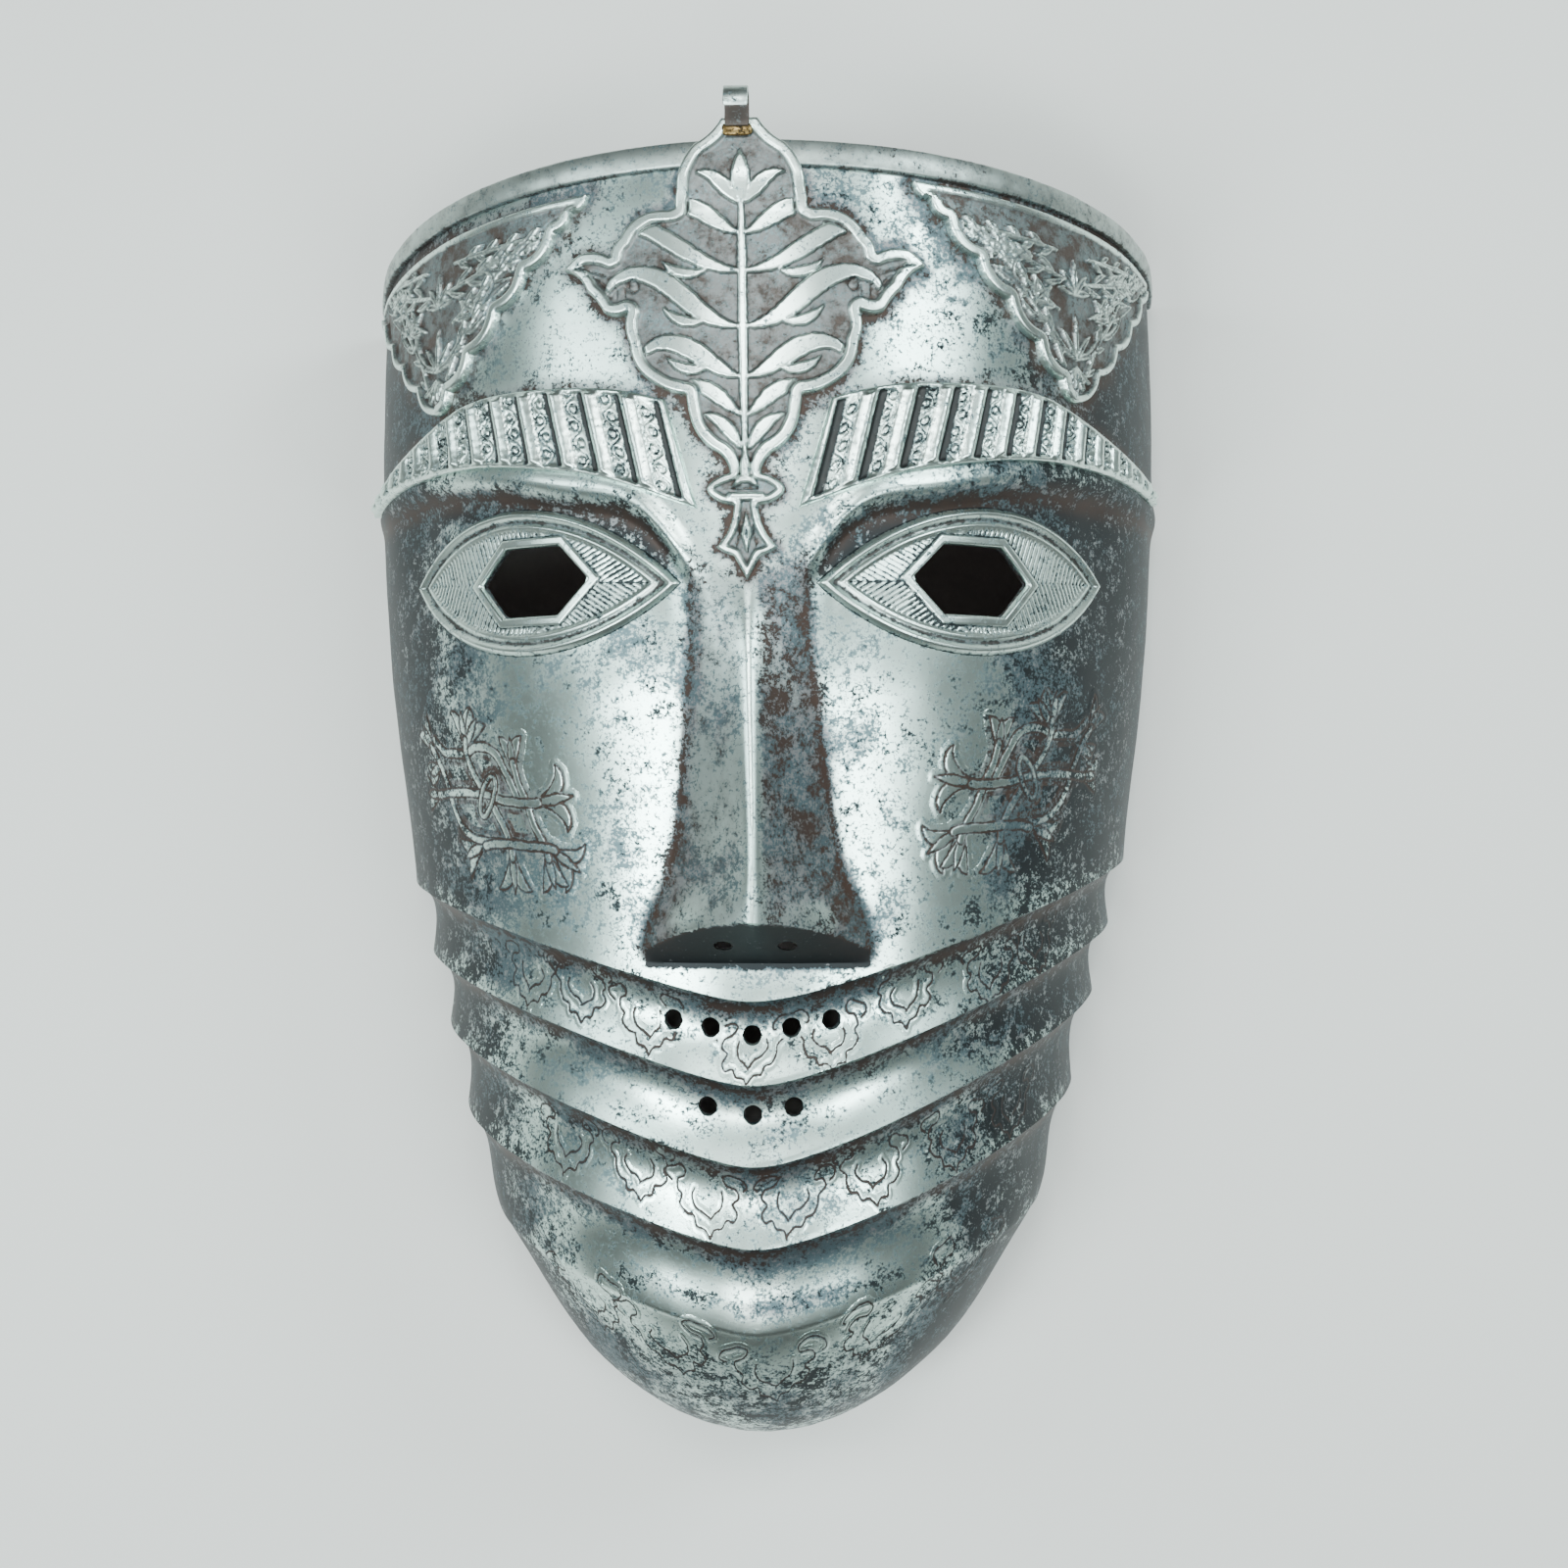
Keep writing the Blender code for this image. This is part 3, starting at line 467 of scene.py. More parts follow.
patina = {
    # how strong each tone is, how far over the line it peaks, how wide it is, and where it is cut off
    # on every crest: burnish with a painted highlight, a painted shadow line just under it, painted shade
    # over the flute below, and rust
    "crest": (("burnish", 1.0, 0.0, 3.0, -0.3, 99), ("grime", 0.62, -1.5, 1.3),
              ("grime", 0.34, -3.2, 3.0, -99, 0), ("rust", 0.45, -2.2, 1.8, -99, 0)),
    # two painted highlights on the chin's swelling, a darker line between them, and darker below the lowest
    # crest
    "chinHighlights": ((1.1, 0.3, 2.4), (0.6, 8.5, 3.0)), "chinLine": (0.26, 4.6, 1.6),
    # under the brow ridge: burnish with a painted highlight on it, painted shade in the socket, a painted
    # shadow line close under the ridge, and rust
    "brow": (("burnish", 0.5, 0.0, 2.0), ("grime", 0.62, -5.6, 4.2), ("grime", 0.85, -3.6, 0.9),
             ("rust", 0.5, -4.0, 2.0)),
    # painted highlights on the nose's ridge, lip and wings, and painted shadow under the nose
    "ridgeBurnishAndHighlight": 1.6, "lipHighlight": 0.9, "litWings": 1.5, "underNose": 1.2,
    # painted shade in the creases beside the nose, and on the nose's right flank only
    "crease": (0.36, 2.0, 0.28, 0.45),   # beside the nose: the soft line and its width, then the sharp one
    "flankRust": (0.36, 0.5), "flankShade": (0.0, 0.30), "wingRust": 0.4, "sides": 0.66, "chinDarkening": 0.38,
    # dirt along the plates with a painted shadow line right at their edges, rust there, burnish dimmed there
    "haloDirtAndShadow": (0.24, 0.45), "haloRust": 0.65, "haloDull": 0.6,
}


def sheetColumns():
    # distances round the face: narrow steps over the nose and mouth, wide ones on the cheeks
    a, places = 0.0, [0.0]
    end = face["wrap"] * np.pi / 2
    while a < end:
        wider = float(ramp(a, sheet["fineTo"], sheet["coarseFrom"]))
        a += sheet["fineStep"] + (sheet["coarseStep"] - sheet["fineStep"]) * wider
        places.append(a)
    right = np.array(places) * end / places[-1]
    right = np.append(right[:-1], [end - sheet["edgeRound"], end])
    return np.concatenate([-right[:0:-1], right]) / face["wrap"]


def sheetRows(angle):
    # heights of the rows at each angle: they follow the ridge, the nose's edge and every crest
    side = np.abs(np.sin(angle))
    climb = crestLine(0, angle) - face["crests"][0, 0]
    overNose = ramp(side, 0.27, 0.6)
    top = topEdge(angle)
    ridge = np.maximum(spline(browShape["ridge"], np.abs(halfWidth(64.0) * np.sin(angle))), 54)
    tip = noseShape["tip"] + 0.8 * climb * overNose - 4 * np.minimum(side / 0.23, 1) ** 2 * (1 - overNose)
    base = noseShape["base"] + 0.9 * climb * overNose
    marks = [top - sheet["edgeRound"], ridge + 22, ridge + 7, ridge - 5, 24 + 0.12 * climb, tip, base]
    lines = [base] + [crestLine(k, angle) for k in range(len(face["crests"]))]
    chin = np.concatenate([np.linspace(0, 0.08, 6)[:-1], 0.08 + 0.92 * np.sin(np.linspace(0, np.pi / 2, 28))])
    spans = [(marks[k], marks[k + 1], np.arange(n) / n) for k, n in enumerate(sheet["rows"])]
    spans += [(lines[0], lines[1], np.arange(9) / 9)]
    spans += [(upper, lower, sheet["bandRows"]) for upper, lower in zip(lines[1:], lines[2:])]
    spans += [(lines[-1], face["chin"], chin)]
    return np.array([top] + [high + (low - high) * share for high, low, shares in spans for share in shares])


def hexagon(x, y, half, flat, high):
    # how far inside a hexagon with points left and right, measured from its middle
    x, y = np.abs(x), np.abs(y)
    slant = np.hypot(high, half - flat)
    return np.minimum(high - y, (high * (half - x) - (half - flat) * y) / slant)


def roundFace(x, y):
    # distance round the face of the place over x
    return face["wrap"] * np.arcsin(x / halfWidth(np.asarray(float(y))))


def tightness(y):
    # how much shorter a millimetre round the face is at that height
    return float(halfWidth(np.array(y))) / face["wrap"]


def holes(angle, y):
    # how far each place lies outside the nearest hole: hexagons, flattened circles and circles
    a = angle * face["wrap"]
    far = np.full(a.shape, 99.0)
    for side in (-1, 1):
        inHole = hexagon(a - side * sheet["eyeRound"], y - sheet["eyeHeight"],
                         sheet["eyeHalf"], sheet["eyeFlat"], sheet["eyeHigh"])
        x, height = noseShape["lean"] + side * sheet["nostrilAside"], sheet["nostrilHeight"]
        wide, high = sheet["nostrilShape"]
        apart = np.hypot((a - roundFace(x, height)) * wide, (y - height) * high)
        far = np.minimum(np.minimum(far, -inHole), apart - sheet["nostrilRadius"])
    for height, places in sheet["breathRows"]:
        for x in places:
            middle = height + sheet["breathClimb"] * abs(x)
            apart = np.hypot((a - roundFace(x, middle)) * tightness(middle), y - middle)
            far = np.minimum(far, apart - sheet["breathRadius"])
    return far


def sheetTones(angle, y):
    # burnish on the crests and ridges, grime under them and at the sides, rust on the nose's flanks
    x = halfWidth(y) * np.sin(angle)
    tones = {key: np.zeros_like(y) for key in ("burnish", "grime", "rust")}

    def add(key, values):
        tones[key] = np.maximum(tones[key], values)

    def addBands(name, above, share=1):
        for key, strength, middle, wide, *cut in patina[name]:
            low, high = cut or (-np.inf, np.inf)
            add(key, strength * bell(above, middle, wide) * share * ((above > low) & (above < high)))

    # every crest: burnish and a painted highlight on it, a painted shadow line and painted shade under it,
    # rust
    for k in range(len(face["crests"]) - 1):
        addBands("crest", y - crestLine(k, angle))
    chin = y - crestLine(4, angle)
    # the chin: two painted highlights on its swelling, a darker line between them, then darker below it
    add("burnish", sum(strength * bell(chin, *line) for strength, *line in patina["chinHighlights"]))
    add("grime", patina["chinLine"][0] * bell(chin, *patina["chinLine"][1:]))
    add("grime", patina["chinDarkening"] * ramp(-chin, 3, 13))
    # the brow ridge: burnish and a painted highlight on it, painted shade and a painted shadow line in the
    # socket below
    addBands("brow", y - spline(browShape["ridge"], np.abs(x)), ramp(np.abs(x), 10, 18))

    # the nose: burnish and a painted highlight on the ridge, painted shade in the creases and on the right
    # flank, rusty flanks and wings, painted highlights on the wings and along the lower lip, painted shadow
    # under it
    off, half = x - noseMiddle(y), spline(noseShape["rows"], y)
    aside, left = np.abs(off), off < 0
    onNose = ramp(y, -27, -22) * (1 - ramp(y, 40, 52))
    add("burnish", patina["ridgeBurnishAndHighlight"] * bell(off, 0, 1.1) * onNose)
    # painted shade in the creases beside the nose
    soft, softWide, sharp, sharpWide = patina["crease"]
    crease = (soft * bell(aside - half, 0, softWide) + sharp * bell(aside - half, 0.2, sharpWide)) * onNose
    add("grime", crease)
    flank = ramp(half + 2 - aside, 0, 3) * (1 - bell(off, 0, 2.2))
    spots = np.where(left, *patina["flankRust"])
    spots = spots + patina["wingRust"] * ramp(aside / half, 0.45, 0.95) * ramp(-y, -10, 14)
    add("rust", flank * onNose * spots + 0.6 * crease)
    add("rust", bell(aside, 17.2, 2.2) * bell(y, -21, 3.2))
    # painted shade on the right flank
    shade = np.where(left, *patina["flankShade"]) * ramp(half - aside, -3, 2)
    add("grime", shade * (1 - bell(off, 0, 1.8)) * onNose)
    lit = bell(aside, 12, 3.2) * bell(y, -17, 3)
    lowEdge = noseShape["tip"] - 5 * (off / 19) ** 2
    under = ramp(lowEdge - y, 0, 1) * ramp(y, -27, -25.5) * (aside < half)
    add("burnish", np.maximum(patina["litWings"] * lit,
                              patina["lipHighlight"] * bell(y - lowEdge, 0.9, 0.6) * (aside < half)))
    add("grime", patina["underNose"] * under)

    # painted shade on both sides, the right one from further in; dirt and a painted shadow line along the
    # plates
    add("grime", patina["sides"] * ramp(np.where(angle < 0, -angle, angle + 0.14), 0.45, 1.1))
    halo = platesNear(angle * face["wrap"], y)
    # dirt along the plates, and a painted shadow line close to their edges
    wide, close = patina["haloDirtAndShadow"]
    add("grime", wide * halo + close * halo ** 9)
    tones["rust"] = np.maximum(tones["rust"] * (1 - 0.8 * lit) * (1 - 0.8 * under), patina["haloRust"] * halo)
    tones["burnish"] = tones["burnish"] * (1 - patina["haloDull"] * halo)
    return tones


def platesNear(a, y):
    # 1 on the sheet along the plates' edges, fading over one or two millimetres
    halo = bell(np.maximum(-outlineDistance(a - cartoucheLean(y), y, cartoucheRing()), 0), 0, 1.5)
    for side, sign in (("left", -1), ("right", 1)):
        outside = np.maximum(-outlineDistance(a * sign, y, templeRing(side)), 0)
        x = np.clip(a * sign, brow["top"][0, 0], brow["end"])
        above = y - spline(brow["top"], x) - brow["tilt"][side] * x / brow["end"]
        nearBrow = 0.8 * bell(np.maximum(above, 0), 0, 1.6) * (above > -3) * (a * sign > brow["start"])
        halo = np.maximum(np.maximum(halo, 0.9 * bell(outside, 0, 2.6) * (a * sign > 0)), nearBrow)
    return halo


def makeSheet():
    # outer and inner skins on one clipped grid, joined by walls along the edges and round every hole
    angle = sheetColumns()
    nearNose = bell(angle * face["wrap"], 0, 16)             # the columns there lean with the nose's ridge
    tip = noseShape["tip"]
    rows = sheetRows(angle + nearNose * noseMiddle(tip) / halfWidth(tip))
    across = angle + nearNose * noseMiddle(rows) / np.maximum(halfWidth(rows), 20)
    angles, heights, faces = clipGrid(holes(across, rows), across, rows)
    edge = np.minimum(topEdge(angles) - heights, (np.pi / 2 - np.abs(angles)) * face["wrap"])
    edge = np.where(edge < 0.05, sheet["edgeRound"], 0.0)
    outer = facePoint(angles, heights, -edge)
    inner = facePoint(angles, heights, edge - face["wall"])
    atChin = heights < face["chin"] + 0.001                  # every column ends in one point there
    outer[atChin] = 0, face["chin"], 0
    inner[atChin] = 0, face["chin"] + face["wall"], 0
    count = len(angles)
    walls = [[b, a, a + count, b + count] for a, b in borderEdges(faces)]
    back = [[v + count for v in reversed(ring)] for ring in faces]
    # the inner skin is even: grime and painted shade, and rust
    inside = {"burnish": 0, "grime": 0.5, "rust": 0.35}
    tones = sheetTones(angles, heights)
    tones = {key: np.append(values, np.full(count, inside[key])) for key, values in tones.items()}
    skin = np.zeros(len(faces) * 2 + len(walls))
    skin[len(faces):2 * len(faces)] = 1                      # the inner skin has the second material
    makePiece("maskSheet", np.concatenate([outer, inner]), faces + back + walls, [sheetIron, insideIron],
              tones, "mask_shell", 40, skin, 0.001)


def alongLine(x, y, a, b):
    # how far along the line from a to b each place lies, as a share of it, and its distance from the line
    ux, uy = b[0] - a[0], b[1] - a[1]
    share = np.clip(((x - a[0]) * ux + (y - a[1]) * uy) / max(ux * ux + uy * uy, 1e-9), 0, 1)
    return share, np.hypot(x - a[0] - ux * share, y - a[1] - uy * share)


def outlineDistance(x, y, ring):
    # how far inside a closed outline each place lies, negative outside
    nearest = np.full(x.shape, 1e9)
    turns = np.zeros(x.shape, bool)
    for a, b in zip(ring, np.roll(ring, -1, 0)):
        nearest = np.minimum(nearest, alongLine(x, y, a, b)[1])
        if a[1] != b[1]:
            turns ^= ((a[1] > y) != (b[1] > y)) & (x < (y - a[1]) * (b[0] - a[0]) / (b[1] - a[1]) + a[0])
    return np.where(turns, 1, -1) * nearest


def strokeInside(x, y, strokes):
    # how far inside the union of tapered strokes each place lies: a stroke is rows of x, y and half width
    inside = np.full(x.shape, -9.0)
    for stroke in strokes:
        reach = stroke[:, 2].max() + 3.0
        low, high = stroke[:, :2].min(0) - reach, stroke[:, :2].max(0) + reach
        near = (x > low[0]) & (x < high[0]) & (y > low[1]) & (y < high[1])
        px, py, best = x[near], y[near], inside[near]
        for a, b in zip(stroke, stroke[1:]):
            share, apart = alongLine(px, py, a, b)
            best = np.maximum(best, a[2] + (b[2] - a[2]) * share - apart)
        inside[near] = best
    return inside


def arc(a, b, bulge, count):
    # points from a towards b on a flat arc that rises by a share of its chord
    t = np.arange(count)[:, None] / count
    way = np.subtract(b, a)
    return (a + way * t + way[::-1] * [-1, 1] * bulge * 4 * t * (1 - t)).tolist()


def scroll(x, y, heading, length, turnFirst, turnLast, widths, count=22):
    # a stem drawn by walking from a place: it turns by so many degrees per millimetre, changing evenly
    # from the first to the last, and its half width runs through the given values
    s = np.linspace(0, length, count)
    way = np.radians(heading + turnFirst * s + (turnLast - turnFirst) * s ** 2 / (2 * length))
    gap = length / (count - 1)
    xs = x + np.append(0, np.cumsum(np.cos((way[:-1] + way[1:]) / 2) * gap))
    ys = y + np.append(0, np.cumsum(np.sin((way[:-1] + way[1:]) / 2) * gap))
    half = np.interp(s / length, np.linspace(0, 1, len(widths)), widths)
    return np.stack([xs, ys, half], 1)


def leaf(x, y, heading, length, fat, turn=0.0):
    # a pointed leaf: thin at its stalk, fullest before the middle, sharp at its end
    return scroll(x, y, heading, length, turn, turn, (0.25 * fat, 0.85 * fat, fat, 0.7 * fat, 0.05 * fat), 12)


def mirrored(strokes):
    # the strokes and their mirror images across the middle line
    return strokes + [s * [-1, 1, 1] for s in strokes]


def onSide(side, low, high):
    # the box of a piece on the right half, mirrored for the left one
    return (low, high) if side == "right" else ((-high[0], low[1]), (-low[0], high[1]))


relief = {"sink": 0.35, "backCell": 4.0, "backMargin": 0.8, "sharp": 60}


def reliefPiece(name, box, cell, field, metal, node=None):
    # a raised patch, in distances round the face and heights. field gives, for each place, how far inside
    # the patch it lies, how high it stands and its tones. Its edge and its back are sunk in the sheet
    (left, bottom), (right, top) = box
    gx, gy = np.meshgrid(np.arange(left, right + cell, cell), np.arange(bottom, top + cell, cell))
    px, py, faces = clipGrid(field(gx, gy)[0], gx, gy)
    _, lift, tones = field(px, py)
    border = borderEdges(faces)
    rim = np.unique(border)
    lift[rim] = -relief["sink"]
    # the back: few triangles between the same border and a coarse grid
    step = relief["backCell"]
    fx, fy = np.meshgrid(np.arange(left, right, step), np.arange(bottom, top, step))
    clear = field(fx, fy)[0] > relief["backMargin"]
    order = {v: k for k, v in enumerate(rim.tolist())}
    flat = [Vector((px[v], py[v])) for v in rim] + [Vector(p) for p in zip(fx[clear], fy[clear])]
    edges = [(order[a], order[b]) for a, b in border]
    spots, _, triangles, origins, _, _ = delaunay_2d_cdt(flat, edges, [], 1, 1e-7)
    number, extra = [], []
    for spot, origin in zip(spots, origins):
        if origin and origin[0] < len(rim):
            number.append(int(rim[origin[0]]))
        else:
            number.append(len(px) + len(extra))
            extra.append(spot[:])
    extra = np.array(extra).reshape(-1, 2)
    back = insideTriangles([[number[v] for v in t] for t in triangles], border)
    points = facePoint(np.append(px, extra[:, 0]) / face["wrap"], np.append(py, extra[:, 1]),
                       np.append(lift, np.full(len(extra), -relief["sink"])))
    tones = {key: np.append(values, np.ones(len(extra))) for key, values in tones.items()}
    faces += [ring[::-1] for ring in back]
    makePiece(name, points, faces, [metal], tones, node, relief["sharp"])


cartouche = {
    "outline": [                 # distance from the middle, height, bulge of the arc to the next row
        (3.4, 126.0, -0.08), (8.2, 121.4, 0.10), (11.6, 113.2, 0.04), (12.0, 110.3, -0.10),
        (14.0, 110.1, 0.16), (22.4, 105.6, 0.12), (24.2, 102.4, 0.10), (30.4, 103.4, 0.05),
        (33.8, 100.6, -0.12), (28.8, 96.0, -0.05), (25.6, 92.0, 0.12), (21.0, 91.8, 0.10),
        (20.6, 86.0, 0.14), (15.8, 78.4, 0.06), (10.4, 76.4, 0.02), (9.8, 72.6, 0.12),
        (4.6, 65.8, -0.10), (2.8, 62.4, 0.0), (4.2, 62.0, 0.55), (4.2, 57.0, 0.0), (2.2, 56.6, -0.10),
        (5.6, 49.2, 0.05), (2.4, 47.6, 0.0), (0.0, 43.2, 0.0)],
    "leaves": [                  # height on the stem, heading, length, bend at its root and tip, half width
        (67.0, 60, 9.0, 0, -12, 1.3), (72.8, 40, 13.5, 3, -15, 1.5), (79.5, 14, 22.0, 7, -17, 1.9),
        (88.5, 2, 31.0, 7.5, -14, 2.0), (98.5, 4, 31.0, 5, -8, 1.7), (105.5, 20, 17.0, 7, -20, 1.7),
        (111.0, 50, 9.0, 3, -16, 1.4)],
    "sprigs": [(81.0, -14, 8.0), (89.6, -16, 9.0), (98.6, -20, 9.0)],        # height, heading, length
    "stem": ((0, 64.5, 0.4), (0, 80, 0.9), (0, 100, 0.9), (0, 111, 0.6)),     # place and half width
    "pendant": (                 # a spear, a flat petal each way, a lily's middle and its collar
        ((0, 61.5, 0.9), (0, 64.0, 1.0), (0, 67.6, 0.05)),
        ((-2.6, 59.5, 0.05), (-0.8, 61.2, 0.8), (0.8, 61.2, 0.8), (2.6, 59.5, 0.05)),
        ((0, 48.0, 0.1), (0, 51.5, 1.0), (0, 55.4, 0.1)), ((-2.6, 58.1, 0.9), (2.6, 58.1, 0.9))),
    "cuts": (((-2.2, 59.6, 0.3), (2.2, 59.6, 0.3)), ((0, 50.2, 0.05), (0, 51.6, 0.35), (0, 53.4, 0.05)),
             ((-1.9, 49.0, 0.2), (-1.2, 51.6, 0.25), (-1.4, 54.6, 0.1)),
             ((1.9, 49.0, 0.2), (1.2, 51.6, 0.25), (1.4, 54.6, 0.1))),
    "veins": (                   # in the wings: place, heading, length, bend at both ends, half widths
        (24.6, 98.6, 25, 7.4, -1.5, -4.0, (0.12, 0.3, 0.1)),
        (24.2, 95.0, 62, 6.6, -4.0, -9.0, (0.12, 0.28, 0.1)),
        (23.0, 94.2, 84, 3.2, 0, 0, (0.1, 0.24, 0.1)), (21.6, 94.0, 92, 3.0, 0, 0, (0.1, 0.24, 0.1))),
    "wingRing": (20.0, 96.6, 1.0, 0.28),                     # its middle, radius and half width
    "lean": -1.5,                # sideways shift of its top, none at its lowest point
    "border": 2.3, "pendantBorder": 1.4, "rimHigh": 2.0, "groundHigh": 1.15, "strokeHigh": 0.85,
    "cutDeep": 0.35, "cell": 0.27, "overBand": 1.3,
}


def cartoucheRing():
    # arcs through the outline's rows down the right side, and the same mirrored back up the left
    right = []
    rows = cartouche["outline"]
    for (ax, ay, bulge), (bx, by, _) in zip(rows, rows[1:]):
        right += arc((ax, ay), (bx, by), bulge, 12 if bulge > 0.3 else 6 if bulge else 1)
    return np.array(right + [rows[-1][:2]] + [(-x, y) for x, y in reversed(right)])


def cartoucheLean(y):
    # sideways shift, growing evenly from the lowest point to the top
    low, high = cartouche["outline"][-1][1], cartouche["outline"][0][1]
    return cartouche["lean"] * (y - low) / (high - low)


def cartoucheStems():
    # a plume: one stem up the middle, pairs of leaves that sweep out and curl over, a bud on top
    strokes = []
    for height, heading, length, turnFirst, turnLast, fat in cartouche["leaves"]:
        widths = (0.5, 0.75 * fat, fat, fat, 0.8 * fat, 0.5 * fat, 0.15)
        strokes.append(scroll(0.9, height, heading, length, turnFirst, turnLast, widths))
    strokes += [leaf(6.5, height, heading, length, 1.1, 8) for height, heading, length in cartouche["sprigs"]]
    return mirrored(strokes) + [np.array(cartouche["stem"]), leaf(0, 110.6, 90, 9.4, 1.8)]


def makeCartouche():
    # a rim, a sunk ground, the plume on it, the pendant in relief and cut lines in pendant and wings
    ring, stems = cartoucheRing(), cartoucheStems()
    pendants, cuts = ([np.array(s) for s in cartouche[key]] for key in ("pendant", "cuts"))
    veins = [scroll(*row) for row in cartouche["veins"]]
    ringX, ringY, ringRadius, ringHalf = cartouche["wingRing"]
    ground, rim = cartouche["groundHigh"], cartouche["rimHigh"]

    def field(px, py):
        x = px - cartoucheLean(py)
        inside = outlineDistance(x, py, ring)
        thinner = cartouche["border"] - cartouche["pendantBorder"]
        border = cartouche["border"] - thinner * ramp(-py, -66, -60)
        wobble = 0.12 * speckle(x, py, 7.0, 0.4)
        toGround = ramp(inside, border - 0.35 + wobble, border + 0.25 + wobble)
        raised = rounded(strokeInside(x, py, stems) + 0.10 * speckle(x, py, 3.1, 1.7), 0.4)
        raised = raised * ramp(inside, border + 0.1, border + 0.7)
        plate = ground + (rim - ground) * (1 - toGround) + cartouche["strokeHigh"] * raised
        onPendant = rounded(strokeInside(x, py, pendants), 0.7)
        plate = np.maximum(plate, ground + (rim + 0.15 - ground) * onPendant)
        wings = np.maximum(strokeInside(np.abs(x), py, veins),
                           ringHalf - np.abs(np.hypot(np.abs(x) - ringX, py - ringY) - ringRadius))
        cut = rounded(np.maximum(wings, strokeInside(x, py, cuts)), 0.25)
        grain = 0.05 * speckle(x, py, 1.3, 2.2) * toGround * (1 - raised)
        lift = rounded(inside, 0.5) * (plate + grain) - cartouche["cutDeep"] * cut
        lift = lift + cartouche["overBand"] * ramp(py, face["top"] - 14, face["top"] - 6)
        high = np.maximum(np.maximum(1 - toGround, raised), onPendant)
        bare = toGround * (1 - raised) * (1 - onPendant)
        return inside, lift, {"burnish": high * ramp(inside, 0.0, 0.5) * (1 - cut),
                              "grime": np.maximum(0.6 * cut, 0.14 * bare), "rust": 0.9 * bare}

    reliefPiece("foreheadCartouche", ((-37, 42), (35, 127)), cartouche["cell"], field, plateIron,
                "forehead_cartouche")


temple = {
    "inner": 30.5, "outer": 106.0, "tip": (68.2, 85.4), "drop": {"left": 7.2, "right": 5.6},
    "innerLobes": (0.09, 0.09, 0.17, 0.18, 0.19, 0.17, 0.11), "outerLobes": (0.2, 0.2, 0.2, 0.2, 0.2),
    "scallopDepth": 1.6, "border": 2.1, "fillet": 1.6, "topWide": 2.6,
    "rimHigh": 1.7, "groundHigh": 0.8, "leafHigh": 0.75, "fat": 1.2, "cell": 0.27,
    # dark line inside the rim, dark vein and bright edge of a leaf, a painted highlight: distance from the
    # edge, half width, depth
    "line": (0.55, 0.16, 0.15), "vein": (0.7, 0.14, 0.25), "leafEdge": (0.3, 0.17),
    # all the leaf work is placed from the plate's middle line
    "fans": [                    # place, heading, leaf size, leaves, spread, half width
        (0, 87.0, -90, 9.5, 5, 38, 0.6), (0, 88.0, 90, 9.0, 5, 55, 0.66), (0, 100.5, 90, 7.4, 5, 62, 0.7)],
    "sideFan": (11.8, 97.5, 120, 7.0, 4, 50, 0.6),
    "sprays": [                  # place, heading, length, bend, leaf size, leaves
        (1.5, 103.0, 8, 31.0, 0.35, 7.0, 10), (5.0, 97.0, 24, 19.0, 0.5, 6.4, 7),
        (3.5, 90.0, 36, 14.0, 0.6, 6.0, 5), (5.0, 108.5, 2, 22.0, 0.1, 4.6, 8),
        (2.0, 84.0, 58, 9.0, 0.0, 4.4, 3), (12.0, 106.0, 6, 20.0, 0.2, 5.0, 7)],
    "leaves": [(21.0, 104.0, 20, 13.0, 1.0, 1.5), (13.0, 98.0, 38, 12.0, 1.0, -2)],
    "scrolls": [(0.5, 88.5, 15, 17, 3.0, 11.0, (0.45, 0.6, 0.55, 0.3)),
                (8.0, 94.0, 10, 20, 2.0, 15.0, (0.35, 0.6, 0.6, 0.5))],
}


def templeRing(side):
    # a triangle with scalloped sides under a straight top that follows the sheet's edge
    sign, drop = (-1 if side == "left" else 1), temple["drop"][side]

    def below(a):
        return np.array([a, float(topEdge(np.array(sign * a / face["wrap"]))) - drop])

    inner, outer = below(temple["inner"]), below(temple["outer"])
    tip = np.array([temple["tip"][0], temple["tip"][1] - drop])
    ring = []
    for start, end, lobes in ((inner, tip, temple["innerLobes"]), (tip, outer, temple["outerLobes"])):
        marks = np.append(np.cumsum((0.0,) + lobes)[:-1], 1.0)
        for first, last in zip(marks, marks[1:]):
            a, b = start + (end - start) * first, start + (end - start) * last
            ring += arc(a, b, -min(temple["scallopDepth"] / np.linalg.norm(b - a), 0.2), 7)
    span = temple["outer"] - temple["inner"]
    return np.array(ring + [tuple(below(temple["outer"] - span * k / 12)) for k in range(12)])


def palmette(x, y, heading, size, count, spread, fat):
    # a fan of leaves from one place, the middle ones longest
    offs = np.linspace(-1, 1, count)
    return [leaf(x, y, heading + off * spread, size * (1 - 0.28 * abs(off)), fat, off * 7) for off in offs]


def spray(x, y, heading, length, turn, size, count):
    # a stem with leaves on alternate sides and one at its end
    stem = scroll(x, y, heading, length, turn, turn, (0.35, 0.5, 0.45, 0.3))
    strokes = [stem, leaf(stem[-1, 0], stem[-1, 1], heading + turn * length, size, 0.7)]
    for k in range(count):
        share, way = (k + 0.6) / count, 1 - 2 * (k % 2)
        at = stem[int(share * (len(stem) - 1))]
        strokes.append(leaf(at[0], at[1], heading + turn * length * share - way * 36,
                            size * (1 - 0.25 * share), 0.62, way * 5))
    return strokes


